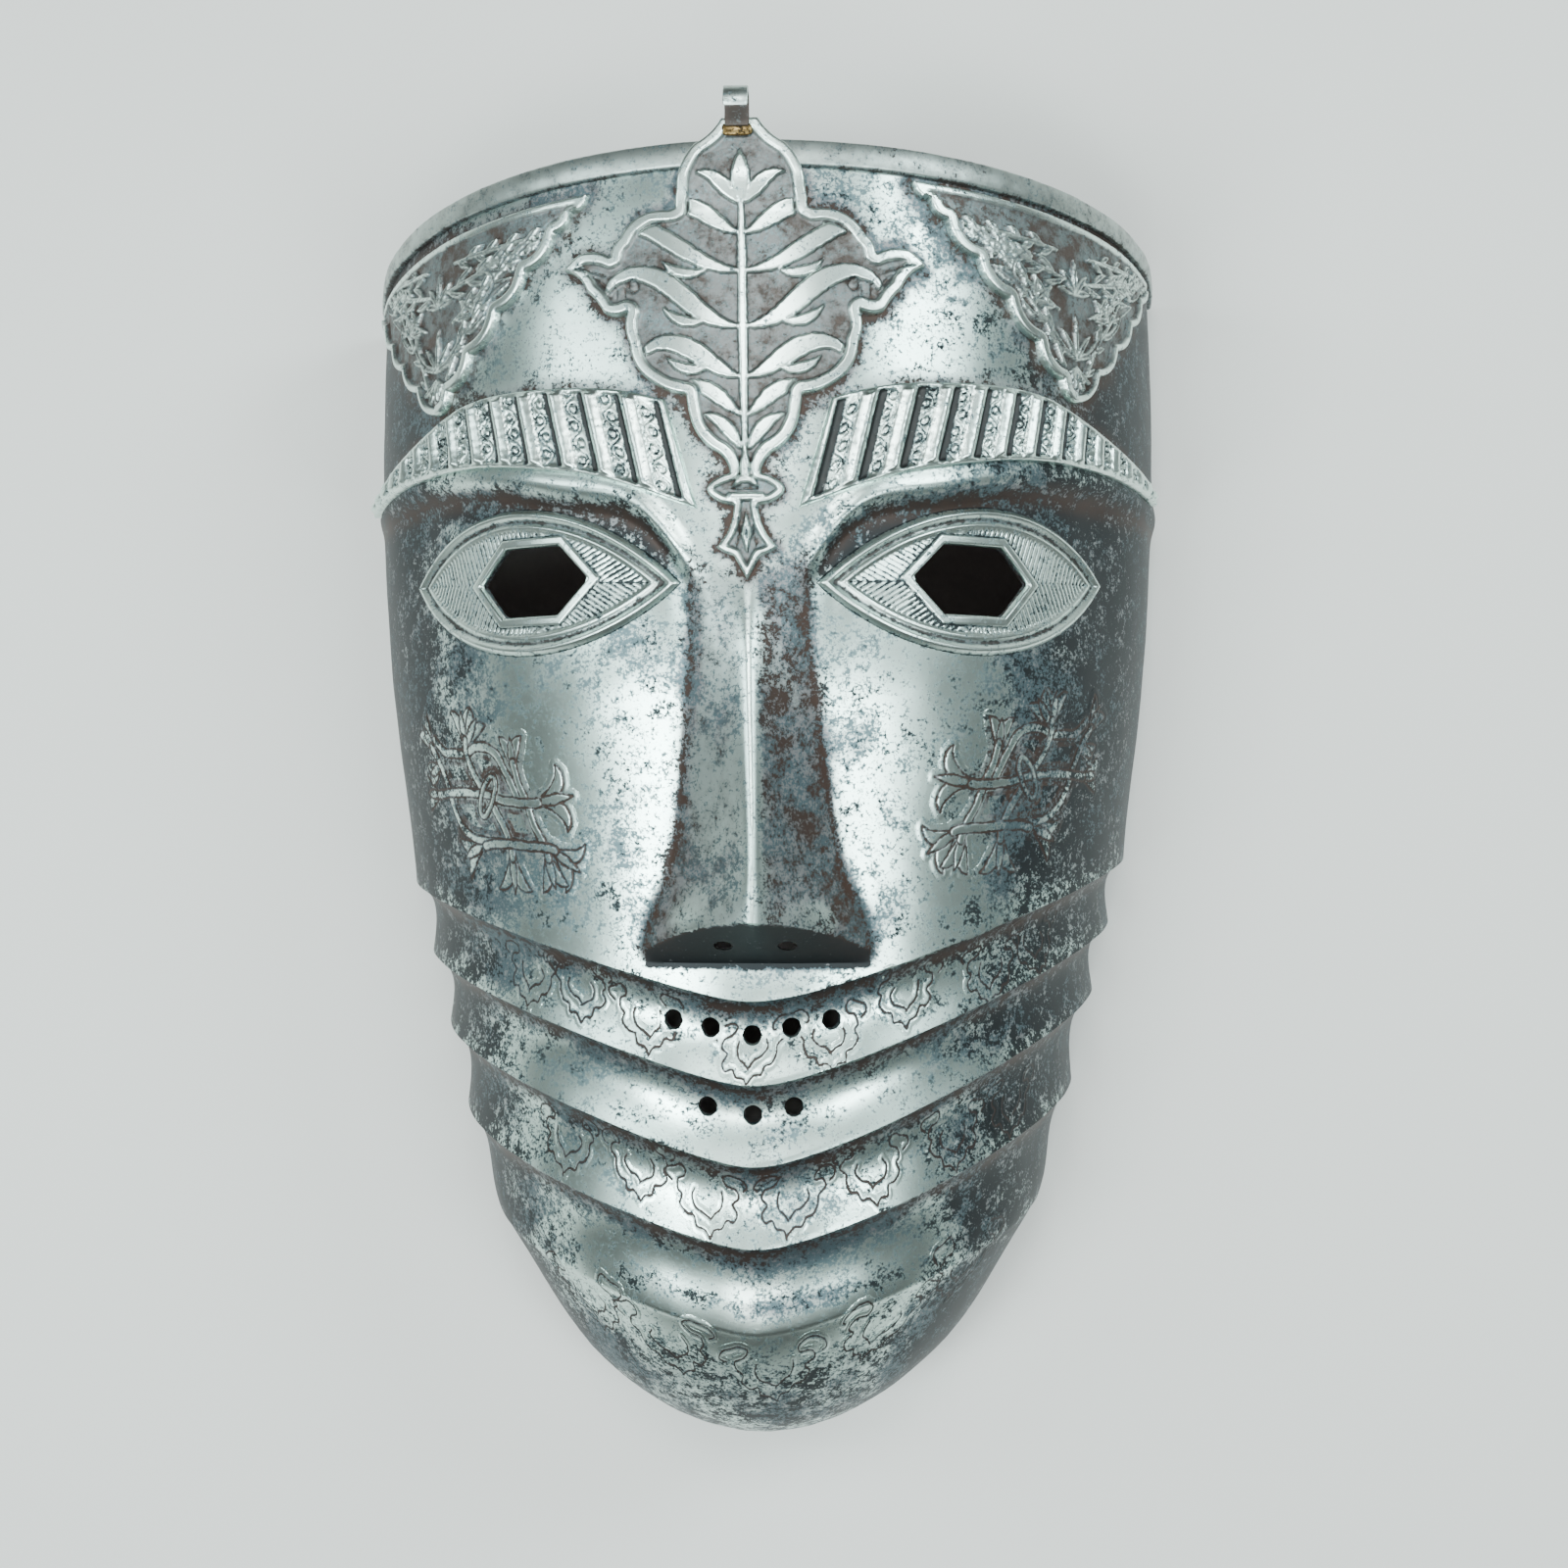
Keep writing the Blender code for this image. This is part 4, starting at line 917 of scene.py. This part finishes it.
def templeStems():
    # a lotus in the middle with fans over it, and sprays of leaves towards both upper corners
    half = palmette(*temple["sideFan"])
    for row in temple["sprays"]:
        half += spray(*row)
    half += [leaf(*row) for row in temple["leaves"]] + [scroll(*row) for row in temple["scrolls"]]
    strokes = [stroke for row in temple["fans"] for stroke in palmette(*row)] + mirrored(half)
    return [s * [1, 1, temple["fat"]] + [temple["tip"][0], 0, 0] for s in strokes]


def makeTemplePlate(side):
    # a scalloped rim, a sunk ground, and leaves with bright edges and dark veins on it
    sign = -1 if side == "left" else 1
    ring = templeRing(side)
    stems = [s + [0, temple["drop"]["right"] - temple["drop"][side], 0] for s in templeStems()]
    (lineAt, lineWide, lineDeep), (*veinAt, veinDeep) = temple["line"], temple["vein"]

    def field(px, py):
        x = px * sign
        inside = outlineDistance(x, py, ring)
        fromTop = topEdge(px / face["wrap"]) - temple["drop"][side] - py
        wide = temple["border"] * np.where(x < temple["tip"][0], 1, 0.7)
        wide = np.where(fromTop < 3.0, np.minimum(wide, temple["fillet"]), wide)
        wobble = 0.10 * speckle(x, py, 6.0, 0.9)
        toGround = ramp(inside, wide - 0.3 + wobble, wide + 0.25 + wobble)
        line = bell(inside, wide + lineAt, lineWide) * (fromTop > temple["topWide"])
        rim = np.where(fromTop < temple["topWide"], temple["rimHigh"] - 0.5, temple["rimHigh"])
        leaves = strokeInside(x, py, stems) + 0.08 * speckle(x, py, 2.3, 1.1)
        clear = ramp(inside, wide + 0.1, wide + 0.7)
        raised, edge = rounded(leaves, 0.55) * clear, bell(leaves, *temple["leafEdge"]) * clear
        vein = raised * bell(leaves, *veinAt)
        ground = temple["groundHigh"]
        plate = ground + (rim - ground) * (1 - toGround) + temple["leafHigh"] * raised - veinDeep * vein
        plate = plate - lineDeep * line + 0.05 * speckle(x, py, 1.2, 0.3) * toGround
        lift = rounded(inside, 0.45) * plate
        # burnish on the rim and a painted highlight along each leaf's edge
        return inside, lift, {"burnish": np.maximum(1 - toGround, edge) * ramp(inside, 0, 0.5),
                              "grime": toGround * (0.3 * (1 - raised) + 0.3 * vein + 0.4 * line),
                              "rust": toGround * (1 - 0.4 * raised) * (1 - edge)}

    reliefPiece("templePlate" + side.title(), onSide(side, ring.min(0) - 1, ring.max(0) + 1), temple["cell"],
                field, plateIron, "temple_plate_" + side)


brow = {
    "top": np.array([[15, 76.0], [23, 78.2], [34, 79.6], [47, 80.2], [60, 79.3], [70, 76.6], [82, 73.2],
                     [95, 70.2], [108, 67.6]]),
    "bottom": np.array([[9, 56.2], [18, 59.5], [28, 62.8], [41, 65.2], [54, 66.8], [68, 67.0], [82, 66.4],
                        [96, 65.4], [108, 64.4]]),
    "start": 9.0, "startLean": 6.0 / 19.8, "end": 108.0, "tilt": {"left": -1.0, "right": 0.8},
    "flutes": 14, "first": 13.4, "last": 106.0, "narrowing": 0.20, "slant": 0.26,
    "ridgeHigh": 2.1, "troughHigh": 0.75, "curl": 3.1, "ring": 0.8, "cutDeep": 0.28, "cell": 0.24,
    # the groove and its painted shade reach to where the scrolls begin
    "groove": {"left": 0.17, "right": 0.25},                 # share of a flute at which its scrolls begin
    "profile": (                 # share of a flute, height
        (-0.20, 1.0), (-0.04, 0.94), (0.03, 0.6), (0.10, 0.06), (0.58, 0.55), (0.80, 1.0), (0.96, 0.94),
        (1.03, 0.6)),
}


def fluteShare(x):
    # counts flutes from the nose outwards: they narrow evenly towards the temple
    t = np.clip((x - brow["first"]) / (brow["last"] - brow["first"]), -0.1, 1.1)
    return brow["flutes"] * t * (1 + brow["narrowing"] * t) / (1 + brow["narrowing"])


def makeBrowStrip(side):
    # slanted flutes between two curved edges: each has a profile across it and scrolls cut down its slope
    sign, groovePart = (-1 if side == "left" else 1), brow["groove"][side]
    profile = np.array(sorted(brow["profile"] + ((groovePart, 0.06),)))
    wide = (brow["last"] - brow["first"]) / brow["flutes"]
    trough, ridgeHigh = brow["troughHigh"], brow["ridgeHigh"]

    def field(px, py):
        x = px * sign
        tilt = brow["tilt"][side] * x / brow["end"]
        upper, lower = spline(brow["top"], x) + tilt, spline(brow["bottom"], x) + tilt
        # the nose end is slanted, the temple end square
        nearNose = (x - (brow["start"] + (py - brow["bottom"][0, 1]) * brow["startLean"])) * 0.95
        inside = np.minimum(np.minimum(upper - py, py - lower), np.minimum(nearNose, brow["end"] - x))
        lean = x - (py - (upper + lower) / 2) * brow["slant"] * (1 - 0.5 * ramp(x, 30, 90))
        count = fluteShare(lean)
        part = count - np.floor(count)
        # each flute: a sharp step down into a groove darkened with painted shade, a rise with scrolls,
        # then a rounded plain ridge
        ridge = ramp(part, 0.58, 0.64) + 1 - ramp(part, 0.02, 0.08)
        groove = (1 - ridge) * (1 - ramp(part, groovePart - 0.04, groovePart + 0.10))
        plate = trough + (ridgeHigh - trough) * spline(profile, part)
        # scrolls: rings in a row, shifted left and right in turn, and a wavy line that passes round them
        along = (upper - py) / brow["curl"] + np.floor(count) * 0.37
        spot = np.round(along)
        size = brow["ring"] * (1 - 0.25 * ramp(x, 20, 100))
        aside = (part - 0.42) * wide * (1.2 - 0.3 * ramp(x, 10, 100))
        shift = 0.25 * (1 - 2 * (spot % 2))
        ring = np.abs(np.hypot(aside + shift, (along - spot) * brow["curl"]) - size)
        wave = np.abs(aside - 1.5 * size * np.cos(np.pi * along))
        cut = (1 - ramp(np.minimum(ring, wave), 0.08, 0.26)) * (1 - groove)
        margin = ramp(inside, 0.5, 1.5)
        cut = np.maximum(cut, bell((part - 0.60) * wide, 0, 0.16)) * (1 - ridge) * margin
        plate = plate * margin + 0.7 * ridgeHigh * (1 - margin)
        lift = rounded(inside, 0.5) * plate - brow["cutDeep"] * cut + 0.04 * speckle(x, py, 3.0, 0.2)
        # painted shade in the groove, burnish and a painted highlight on the ridges, dark in the cut scrolls
        dark = groove * margin
        burnish = 1.4 * np.clip(0.5 + ridge - dark - 0.5 * cut, 0, 1) * ramp(inside, 0, 0.5)
        grime = np.maximum(np.maximum(1.2 * dark, 0.55 * cut), 0.12 * (1 - ridge) * margin)
        return inside, lift, {"burnish": burnish, "grime": grime, "rust": 0.15 * dark}

    reliefPiece("browStrip" + side.title(), onSide(side, (8.0, 55.0), (109.0, 83.0)), brow["cell"], field,
                plateIron, "brow_strip_" + side)


eye = {
    "middle": 47.1, "height": 44.5, "half": 34.6, "high": 13.9, "innerDrop": -1.4,
    "hole": (13.2, 6.6, 6.4), "frame": 1.7, "cell": 0.24,
    "hatch": 0.92, "steep": 66.0, "shallow": 28.0,           # pitch of the hatching and its slants
    "rims": ((0.95, 1.3, 0.75), (0.45, 3.5, 0.55)),          # height, distance from the edge, half width
    "gap": (2.5, 0.4), "base": 0.25, "frameHigh": 0.35, "cut": 0.20,
}


def almond(x, y, half, high):
    # how far inside two arcs that meet in points left and right
    radius = (half ** 2 + high ** 2) / (2 * high)
    return radius - np.hypot(x, np.abs(y) + radius - high)


def makeEyeRing(side):
    # an almond with two rounded rims, a flat frame round the hole and herringbone lines between them
    sign = -1 if side == "left" else 1
    (rimHigh, *rimAt), (secondHigh, *secondAt) = eye["rims"]

    def field(px, py):
        x = px * sign - eye["middle"]
        y = py - eye["height"] - eye["innerDrop"] * np.clip(-x / eye["half"], -1, 1)
        hx, hy = px * sign - sheet["eyeRound"], py - sheet["eyeHeight"]
        edge = almond(x, y, eye["half"], eye["high"])
        hole = -hexagon(hx, hy, *eye["hole"])
        rim, second, gap = bell(edge, *rimAt), bell(edge, *secondAt), bell(edge, *eye["gap"])
        frameHigh = 1 - ramp(hole, eye["frame"], eye["frame"] + 0.4)
        hatched = ramp(edge, 4.0, 4.5) * ramp(hole, eye["frame"] + 0.3, eye["frame"] + 0.6)
        # herringbone strokes: steep outside the hole, shallow on the nose's side
        noseSide = ramp(-hx, -2, 4)
        tilt = np.radians(eye["steep"] + (eye["shallow"] - eye["steep"]) * noseSide)
        way = np.where(noseSide > 0.5, 1, -1)
        pitch = eye["hatch"] * np.where(noseSide > 0.5, 1, 1.2)
        strokes = (way * hx * np.sin(tilt) + np.abs(y) * np.cos(tilt)) / pitch
        hatch = 1 - ramp(np.abs(strokes - np.round(strokes)) * pitch, 0.08, 0.30)
        midLine = (0.25 + 0.4 * noseSide) * (1 - ramp(np.abs(y), 0.1, 0.3))
        frameLine = bell(hole, eye["frame"] + 0.25, 0.2) * ramp(edge, 3.0, 4.0)
        cut = np.clip((hatch * 0.8 + midLine) * hatched + frameLine, 0, 1)
        lift = eye["base"] + rimHigh * rim + secondHigh * second - eye["cut"] * cut
        lift = (lift + eye["frameHigh"] * frameHigh * ramp(edge, 2.6, 4.0)) * ramp(edge, -0.1, 0.6)
        lift = lift - 0.7 * (1 - ramp(hole, -0.05, 0.35))
        burnish = np.clip(1.3 * rim + 1.1 * second + 1.2 * frameHigh + 0.8 * hatched, 0, 1) * (1 - cut)
        # dark in the cut lines and the gap between the rims, and a painted shadow along the almond's outer
        # edge
        grime = np.clip(0.75 * cut + 0.65 * gap + 0.8 * (1 - ramp(edge, 0.0, 0.6)), 0, 1)
        return np.minimum(edge, hole), lift, {"burnish": burnish, "grime": grime, "rust": 0.3 * gap}

    low, high = (eye["middle"] - eye["half"] - 1, 29.5), (eye["middle"] + eye["half"] + 1, 60.5)
    reliefPiece("eyeRing" + side.title(), onSide(side, low, high), eye["cell"], field, plateIron)


band = {
    "width": 5.0, "endWidth": 3.2, "endDegrees": 86.0, "steps": 420,
    "profile": np.array([        # share of the width, height over the sheet
        [0.02, -0.2], [0.02, 0.7], [0.05, 1.05], [0.12, 1.22], [0.5, 1.27], [0.86, 1.22], [0.94, 1.05],
        [0.98, 0.7], [0.98, -0.2]]),
}


def makeRimBand():
    # a strip along the top edge: its cross-section has filed corners and sinks a little into the sheet
    limit = np.radians(band["endDegrees"])
    angle = np.linspace(-limit, limit, band["steps"])[:, None]
    wide = band["endWidth"] + (band["width"] - band["endWidth"]) * np.cos(angle)
    across, lift = band["profile"].T
    y = topEdge(angle) - wide * across
    wear = 0.05 * speckle(angle * face["wrap"], y, 9.0, 0.5)
    points = facePoint(angle, y, lift + wear * (lift > 0))
    high = ramp(np.broadcast_to(lift, y.shape), 0.8, 1.2)
    # burnish on its top, a painted shadow along its sloping edges, rust all over
    tones = {"burnish": 0.45 * high, "grime": 0.5 * (1 - high), "rust": np.full(high.size, 0.4)}
    size = points.shape[:2]
    makePiece("rimBand", points, sweptFaces(*size) + endFaces(*size), [plateIron], tones, "rim_band",
              50)


knot = {
    "left": (-59.5, 4.0, 1), "right": (60.0, 7.6, -1),       # middle round the face, height, way to the nose
    "strap": 0.88, "groove": 0.22, "proud": 0.08, "cell": 0.21, "box": ((-28.5, -21.5), (28.0, 21.5)),
    "straps": [                                              # later ones lie over earlier ones
        ((-19.5, 10.5), (-16.6, 7.0), (-14.4, 3.2), (-12.8, -1.4), (-9.6, -5.8), (-4.0, -7.8), (5.5, -8.4)),
        ((-17.6, 11.8), (-14.0, 9.4), (-9.5, 8.9), (-5.6, 8.9), (-1.0, 10.2), (3.6, 9.0), (6.4, 4.9),
         (8.6, 1.0), (11.0, -0.6)),
        ((8.7, 7.0), (9.4, 3.6), (11.4, -0.8), (12.6, -4.4), (14.8, -8.2), (15.8, -11.0)),
        ((-5.3, 11.5), (-5.5, 8.8), (-3.4, 4.6), (0.0, 0.6), (3.4, -4.2), (5.6, -8.2), (5.8, -11.0)),
        ((-18.6, 0.8), (-14.0, 1.2), (-7.0, 1.4), (0.0, 0.9), (5.0, -0.2), (11.8, -0.6), (14.5, -0.6)),
        ((-2.5, -9.0), (1.0, -8.4), (6.0, -8.4), (11.0, -8.8), (15.6, -8.9), (17.6, -9.4)),
    ],
    "flowers": [                                             # root, heading, size, how much its petals curl
        (-5.4, 10.2, 96, 7.4, 5.0), (-5.1, 10.2, 52, 7.2, 4.0), (8.6, 5.6, 92, 6.4, 6.0),
        (14.2, -0.5, 8, 9.4, 9.0), (16.6, -9.2, -32, 8.4, 8.0), (15.4, -10.0, -78, 7.0, 6.0),
        (5.8, -9.6, -92, 8.6, 6.5), (-3.2, -8.8, 200, 8.0, 6.0), (-18.2, 0.8, 176, 6.6, 8.0),
        (-18.6, 9.6, 128, 7.0, 6.0), (-16.4, 6.4, 196, 5.6, 5.0),
    ],
    "link": (0.0, 0.6, 4.5, 1.7, 56.0, 0.6),                 # middle, half length and width, slant, strap
}


def smoothPath(points, half, steps=6):
    # a stroke of even width that passes smoothly through the points
    p = np.array(points, float)
    ends = np.vstack([2 * p[0] - p[1], p, 2 * p[-1] - p[-2]])
    t = np.arange(steps)[:, None] / steps
    parts = []
    for k in range(len(p) - 1):
        a, b, c, d = ends[k:k + 4]
        bends = (2 * a - 5 * b + 4 * c - d) * t ** 2 + (3 * b - a - 3 * c + d) * t ** 3
        parts.append(0.5 * (2 * b + (c - a) * t + bends))
    path = np.vstack(parts + [p[-1:]])
    return np.column_stack([path, np.full(len(path), half)])


def lily(x, y, heading, size, curl):
    # three petals from one root: two that bend away from each other and a straight one between them
    widths, size = (0.5, 0.85, 1.2, 1.35, 0.9, 0.1), 1.12 * size
    petals = [scroll(x, y, heading + way * 7, size, way * 0.5, way * curl * 2.4, widths) for way in (1, -1)]
    return petals + [leaf(x, y, heading, size * 0.85, 1.0)]


def knotStrokes():
    # flowers under the straps, and a slanted link round the middle
    strokes = [petal for row in knot["flowers"] for petal in lily(*row)]
    strokes += [smoothPath(points, knot["strap"]) for points in knot["straps"]]
    x, y, long, wide, slant, half = knot["link"]
    turn, s, c = np.linspace(0, 2 * np.pi, 25), np.sin(np.radians(slant)), np.cos(np.radians(slant))
    along, across = long * np.cos(turn), wide * np.sin(turn)
    link = np.column_stack([x + along * c - across * s, y + along * s + across * c, np.full(25, half)])
    return strokes + [link]


def makeKnot(side):
    # each stroke is outlined by a dark groove, which hides the lines of those that it lies over
    middle, height, way = knot[side]
    strokes = knotStrokes()

    def field(px, py):
        u, v = (px - middle) * way, py - height
        u, v = u + 0.14 * speckle(u, v, 8.0, 0.7), v + 0.14 * speckle(v, u, 9.0, 1.3)
        body, line = np.full(u.shape, -9.0), np.zeros(u.shape)
        for stroke in strokes:
            inside = strokeInside(u, v, [stroke])
            body = np.maximum(body, inside)
            line = np.where(inside > -0.25, bell(inside, 0, knot["groove"]), line)
        lift = 0.03 + knot["proud"] * (ramp(body, -1.5, -0.4) - line) + 0.12 * rounded(body, 0.5)
        tones = sheetTones(px / face["wrap"], py)
        between = np.exp(-(u / 14) ** 4 - (v / 9.5) ** 4) * ramp(-body, 0.1, 0.8)
        top = ramp(body, 0.1, 0.4) * (1 - line)
        grime = np.clip(np.maximum(tones["grime"], 0.42 * between) - 0.16 * top, 0, 1)
        return body + 1.6, lift, {"burnish": np.maximum(tones["burnish"], 0.4 * top),
                                  "grime": np.maximum(grime, 0.85 * line),
                                  "rust": np.maximum(tones["rust"], 0.7 * np.maximum(line, between))}

    low, high = onSide("right" if way > 0 else "left", *knot["box"])
    box = (middle + low[0], height + low[1]), (middle + high[0], height + high[1])
    reliefPiece("cheekKnot" + side.title(), box, knot["cell"], field, sheetIron, None)


pendant = {
    # each row of pendants: their size, then their distances round the face and heights
    "UpperBand": (0.95, [(-54.6, -29.9), (-40.4, -32.0), (-23.7, -37.0), (0.2, -42.3), (17.8, -39.8),
                         (35.4, -32.5), (57.4, -29.1), (71.3, -24.4)]),
    "LowerBand": (1.0, [(-50.9, -62.3), (-29.4, -65.5), (-11.3, -71.3), (10.2, -71.3), (30.7, -66.2),
                        (53.8, -61.2), (74.1, -56.8)]),
    "Chin": (1.25, [(-56.7, -94.9), (-28.9, -101.2), (7.1, -106.7), (42.1, -98.4), (68.3, -88.8)]),
    "lines": (                   # half of a pendant of size 1: its outline, its inner line and its curl
        ((5.9, 5.4), (4.6, 5.9), (3.6, 4.9), (4.0, 3.5), (5.4, 2.9), (5.9, 1.2), (4.9, 0.1), (5.3, -1.5),
         (4.4, -3.0), (3.1, -3.1), (2.4, -4.6), (1.0, -4.7), (0.0, -6.0)),
        ((2.6, 1.9), (3.0, 0.4), (2.3, -1.2), (1.1, -1.8), (0.0, -2.8)),
        ((5.9, 5.4), (7.2, 4.6), (7.6, 3.2), (6.8, 2.4))),
    "half": 0.17, "apron": 1.15, "high": 0.06, "cell": 0.19,
    "shake": 0.22, "tilt": 0.16, "bow": 0.10, "climb": 0.16,     # how much each differs, leans and climbs
}


def makePendants(row):
    # cut lines on a thin swelling, each pendant a little different, clear of the breath holes
    size, places = pendant[row]
    strokes = []
    for k, (middle, height) in enumerate(places):
        for points in pendant["lines"]:
            for side in (-1, 1):
                p = np.array(points) * size
                p = p + pendant["shake"] * size * np.sin(p[:, ::-1] * 1.3 + k * 1.9 + side)
                u, v = p[:, 0] * side, p[:, 1]
                lean = pendant["tilt"] * np.sin(k * 2.3 + 1) * v
                rise = pendant["bow"] * np.abs(u) + pendant["climb"] * u * np.sign(middle)
                path = np.column_stack([middle + (u + lean) / tightness(height), height + v + rise])
                strokes.append(smoothPath(path, pendant["half"]))

    def field(px, py):
        inside = strokeInside(px, py, strokes)
        cut = ramp(inside, -0.16, 0.12)
        bores = holes(px / face["wrap"], py)
        lift = (0.03 + pendant["high"] * (ramp(inside, -1.1, -0.25) - cut)) * ramp(bores, 0.3, 1.2)
        tones = sheetTones(px / face["wrap"], py)
        # a painted highlight along each cut line
        over = {"burnish": 0.25 * bell(inside, -0.42, 0.2), "grime": 0.95 * cut, "rust": 0.4 * cut}
        tones = {key: np.maximum(tones[key], over[key]) for key in tones}
        return np.minimum(inside + pendant["apron"], bores - 0.3), lift, tones

    spots = np.vstack(strokes)[:, :2]
    reliefPiece("pendants" + row, (spots.min(0) - 2, spots.max(0) + 2), pendant["cell"], field, sheetIron,
                None)


hook = {
    "width": 4.4, "thick": 1.1, "inner": 2.0, "centre": 127.2, "foot": 124.2, "curl": -22.0, "side": -1.9,
    "under": 3.1, "corner": 0.25, "endShrink": 0.93,
    "braze": (2.7, 1.2, 0.55),                               # half width, half length and height of the brass
}


def hookBack():
    # height of the plate's face under the hook
    return float(facePoint(np.array(0.0), np.array(hook["foot"]), hook["under"])[2])


def makeHook():
    # a strip with rounded corners, swept up from the plate's neck and over forwards
    radius = hook["inner"] + hook["thick"] / 2
    middle = hookBack() + hook["thick"] + hook["inner"]
    step = (hook["centre"] - hook["foot"]) / 5
    path = [(hook["foot"] + k * step, middle - radius, np.pi) for k in range(5)]
    turns = np.radians(np.linspace(180, hook["curl"], 30))
    path += [(hook["centre"] + radius * np.sin(t), middle + radius * np.cos(t), t) for t in turns]
    half, deep = hook["width"] / 2 - hook["corner"], hook["thick"] / 2 - hook["corner"]
    steps = np.radians(np.arange(0, 360, 15))
    across = np.sign(np.round(np.cos(steps), 6)) * half + hook["corner"] * np.cos(steps)
    out = np.sign(np.round(np.sin(steps), 6)) * deep + hook["corner"] * np.sin(steps)
    points = []
    for k, (y, z, t) in enumerate(path):
        shrink = hook["endShrink"] if k in (0, len(path) - 1) else 1.0
        points.append(np.stack([hook["side"] + across * shrink, y + out * shrink * np.sin(t),
                                z + out * shrink * np.cos(t)], -1))
    size = len(path), len(steps)
    # burnish and a painted highlight on the curl, painted shade on the foot and the start of the bend, rust
    # mostly on the foot
    bent = np.repeat(ramp(np.arange(size[0]), 11, 17), size[1])
    tones = {"burnish": 0.8 * bent, "grime": 0.62 * (1 - bent), "rust": 0.75 - 0.5 * bent}
    makePiece("hangingHook", np.array(points), sweptFaces(*size) + endFaces(*size), [plateIron], tones,
              "hanging_hook", 50)


def makeBraze():
    # a flattened cushion of brass that holds the hook's foot
    halfWide, halfLong, high = hook["braze"]
    across, along = np.meshgrid(np.linspace(2 * np.pi, 0, 33)[:-1], np.linspace(-np.pi / 2, np.pi / 2, 13))
    x, y = (np.sign(f(across)) * np.abs(f(across)) ** 0.5 * np.cos(along) for f in (np.cos, np.sin))
    x, y = hook["side"] + halfWide * x, hook["foot"] - 0.4 + halfLong * y
    z = hookBack() + 0.05 + high * np.sin(along) + 0.06 * speckle(x, y, 1.6, 0.3)
    tones = {key: np.full(x.size, value) for key, value in (("burnish", 0.2), ("grime", 0.3), ("rust", 0))}
    points = np.stack([x, y, z], -1)
    makePiece("brazedFoot", points, sweptFaces(*x.shape), [brass], tones, sharp=60, merge=0.01)


makeSheet()
makeCartouche()
for side in ("left", "right"):
    makeTemplePlate(side)
    makeBrowStrip(side)
    makeEyeRing(side)
    makeKnot(side)
makeRimBand()
makeHook()
makeBraze()
for row in ("UpperBand", "LowerBand", "Chin"):
    makePendants(row)

stage = {
    "floorSize": 3000.0, "floorColour": "#d9d8d4",
    "cameraAt": (18.0, 8.35, 430.0), "cameraTo": (4.28, 8.35, 25.0), "lens": 43.8, "sensor": 36.0,
    "worldColour": "#9b9194", "worldStrength": 0.22, "lightsTo": (0, 0, 60),
    "lights": (                  # place, size, watts, colour
        ((-416, -156, 783), (200, 400), 7.0, "#effeff"), ((416, -156, 783), (200, 360), 4.4, "#effeff"),
        ((-640, 230, 600), (240, 420), 2.4, "#ecfdff"), ((560, 380, 580), (260, 260), 3.8, "#ecfdff"),
        ((-20, 330, 840), (300, 200), 3.6, "#f8ffff"), ((-30, -340, 840), (240, 160), 2.6, "#f8ffff"),
    ),
}


def makeStage():
    # a pale matt floor, a dim even surround and soft rectangular lamps
    scene = bpy.context.scene
    size = stage["floorSize"] * metre / 2
    mesh = bpy.data.meshes.new("floor")
    corners = [(-size, -size, 0), (size, -size, 0), (size, size, 0), (-size, size, 0)]
    mesh.from_pydata(corners, [], [(0, 1, 2, 3)])
    plain = bpy.data.materials.new("matt painted board")
    plain.use_nodes = True
    shader = plain.node_tree.nodes["Principled BSDF"]
    shader.inputs["Base Color"].default_value = linear(stage["floorColour"])
    shader.inputs["Roughness"].default_value = 0.8
    mesh.materials.append(plain)
    floor = bpy.data.objects.new("floor", mesh)
    scene.collection.objects.link(floor)
    world = bpy.data.worlds.new("studio")
    world.use_nodes = True
    background = world.node_tree.nodes["Background"]
    background.inputs["Color"].default_value = linear(stage["worldColour"])
    background.inputs["Strength"].default_value = stage["worldStrength"]
    scene.world = world
    for k, (place, size, watts, colour) in enumerate(stage["lights"]):
        lamp = bpy.data.lights.new("softbox%d" % k, "AREA")
        lamp.shape, lamp.energy, lamp.color = "RECTANGLE", watts, linear(colour)[:3]
        lamp.size, lamp.size_y = size[0] * metre, size[1] * metre
        holder = bpy.data.objects.new(lamp.name, lamp)
        holder.location = Vector(place) * metre
        aim = Vector(stage["lightsTo"]) - Vector(place)
        holder.rotation_euler = aim.to_track_quat("-Z", "Y").to_euler()
        scene.collection.objects.link(holder)


def makeCamera():
    # it looks down on the face, with the top of the head up in the frame
    lens = bpy.data.cameras.new("camera")
    lens.lens, lens.sensor_width, lens.clip_start = stage["lens"], stage["sensor"], 0.01
    camera = bpy.data.objects.new("camera", lens)
    camera.location = Vector(stage["cameraAt"]) * metre
    back = (Vector(stage["cameraAt"]) - Vector(stage["cameraTo"])).normalized()
    aside = Vector((0, 1, 0)).cross(back).normalized()
    camera.rotation_euler = Matrix((aside, back.cross(aside), back)).transposed().to_euler()
    bpy.context.scene.collection.objects.link(camera)
    bpy.context.scene.camera = camera


makeStage()
makeCamera()
print("stage ready")
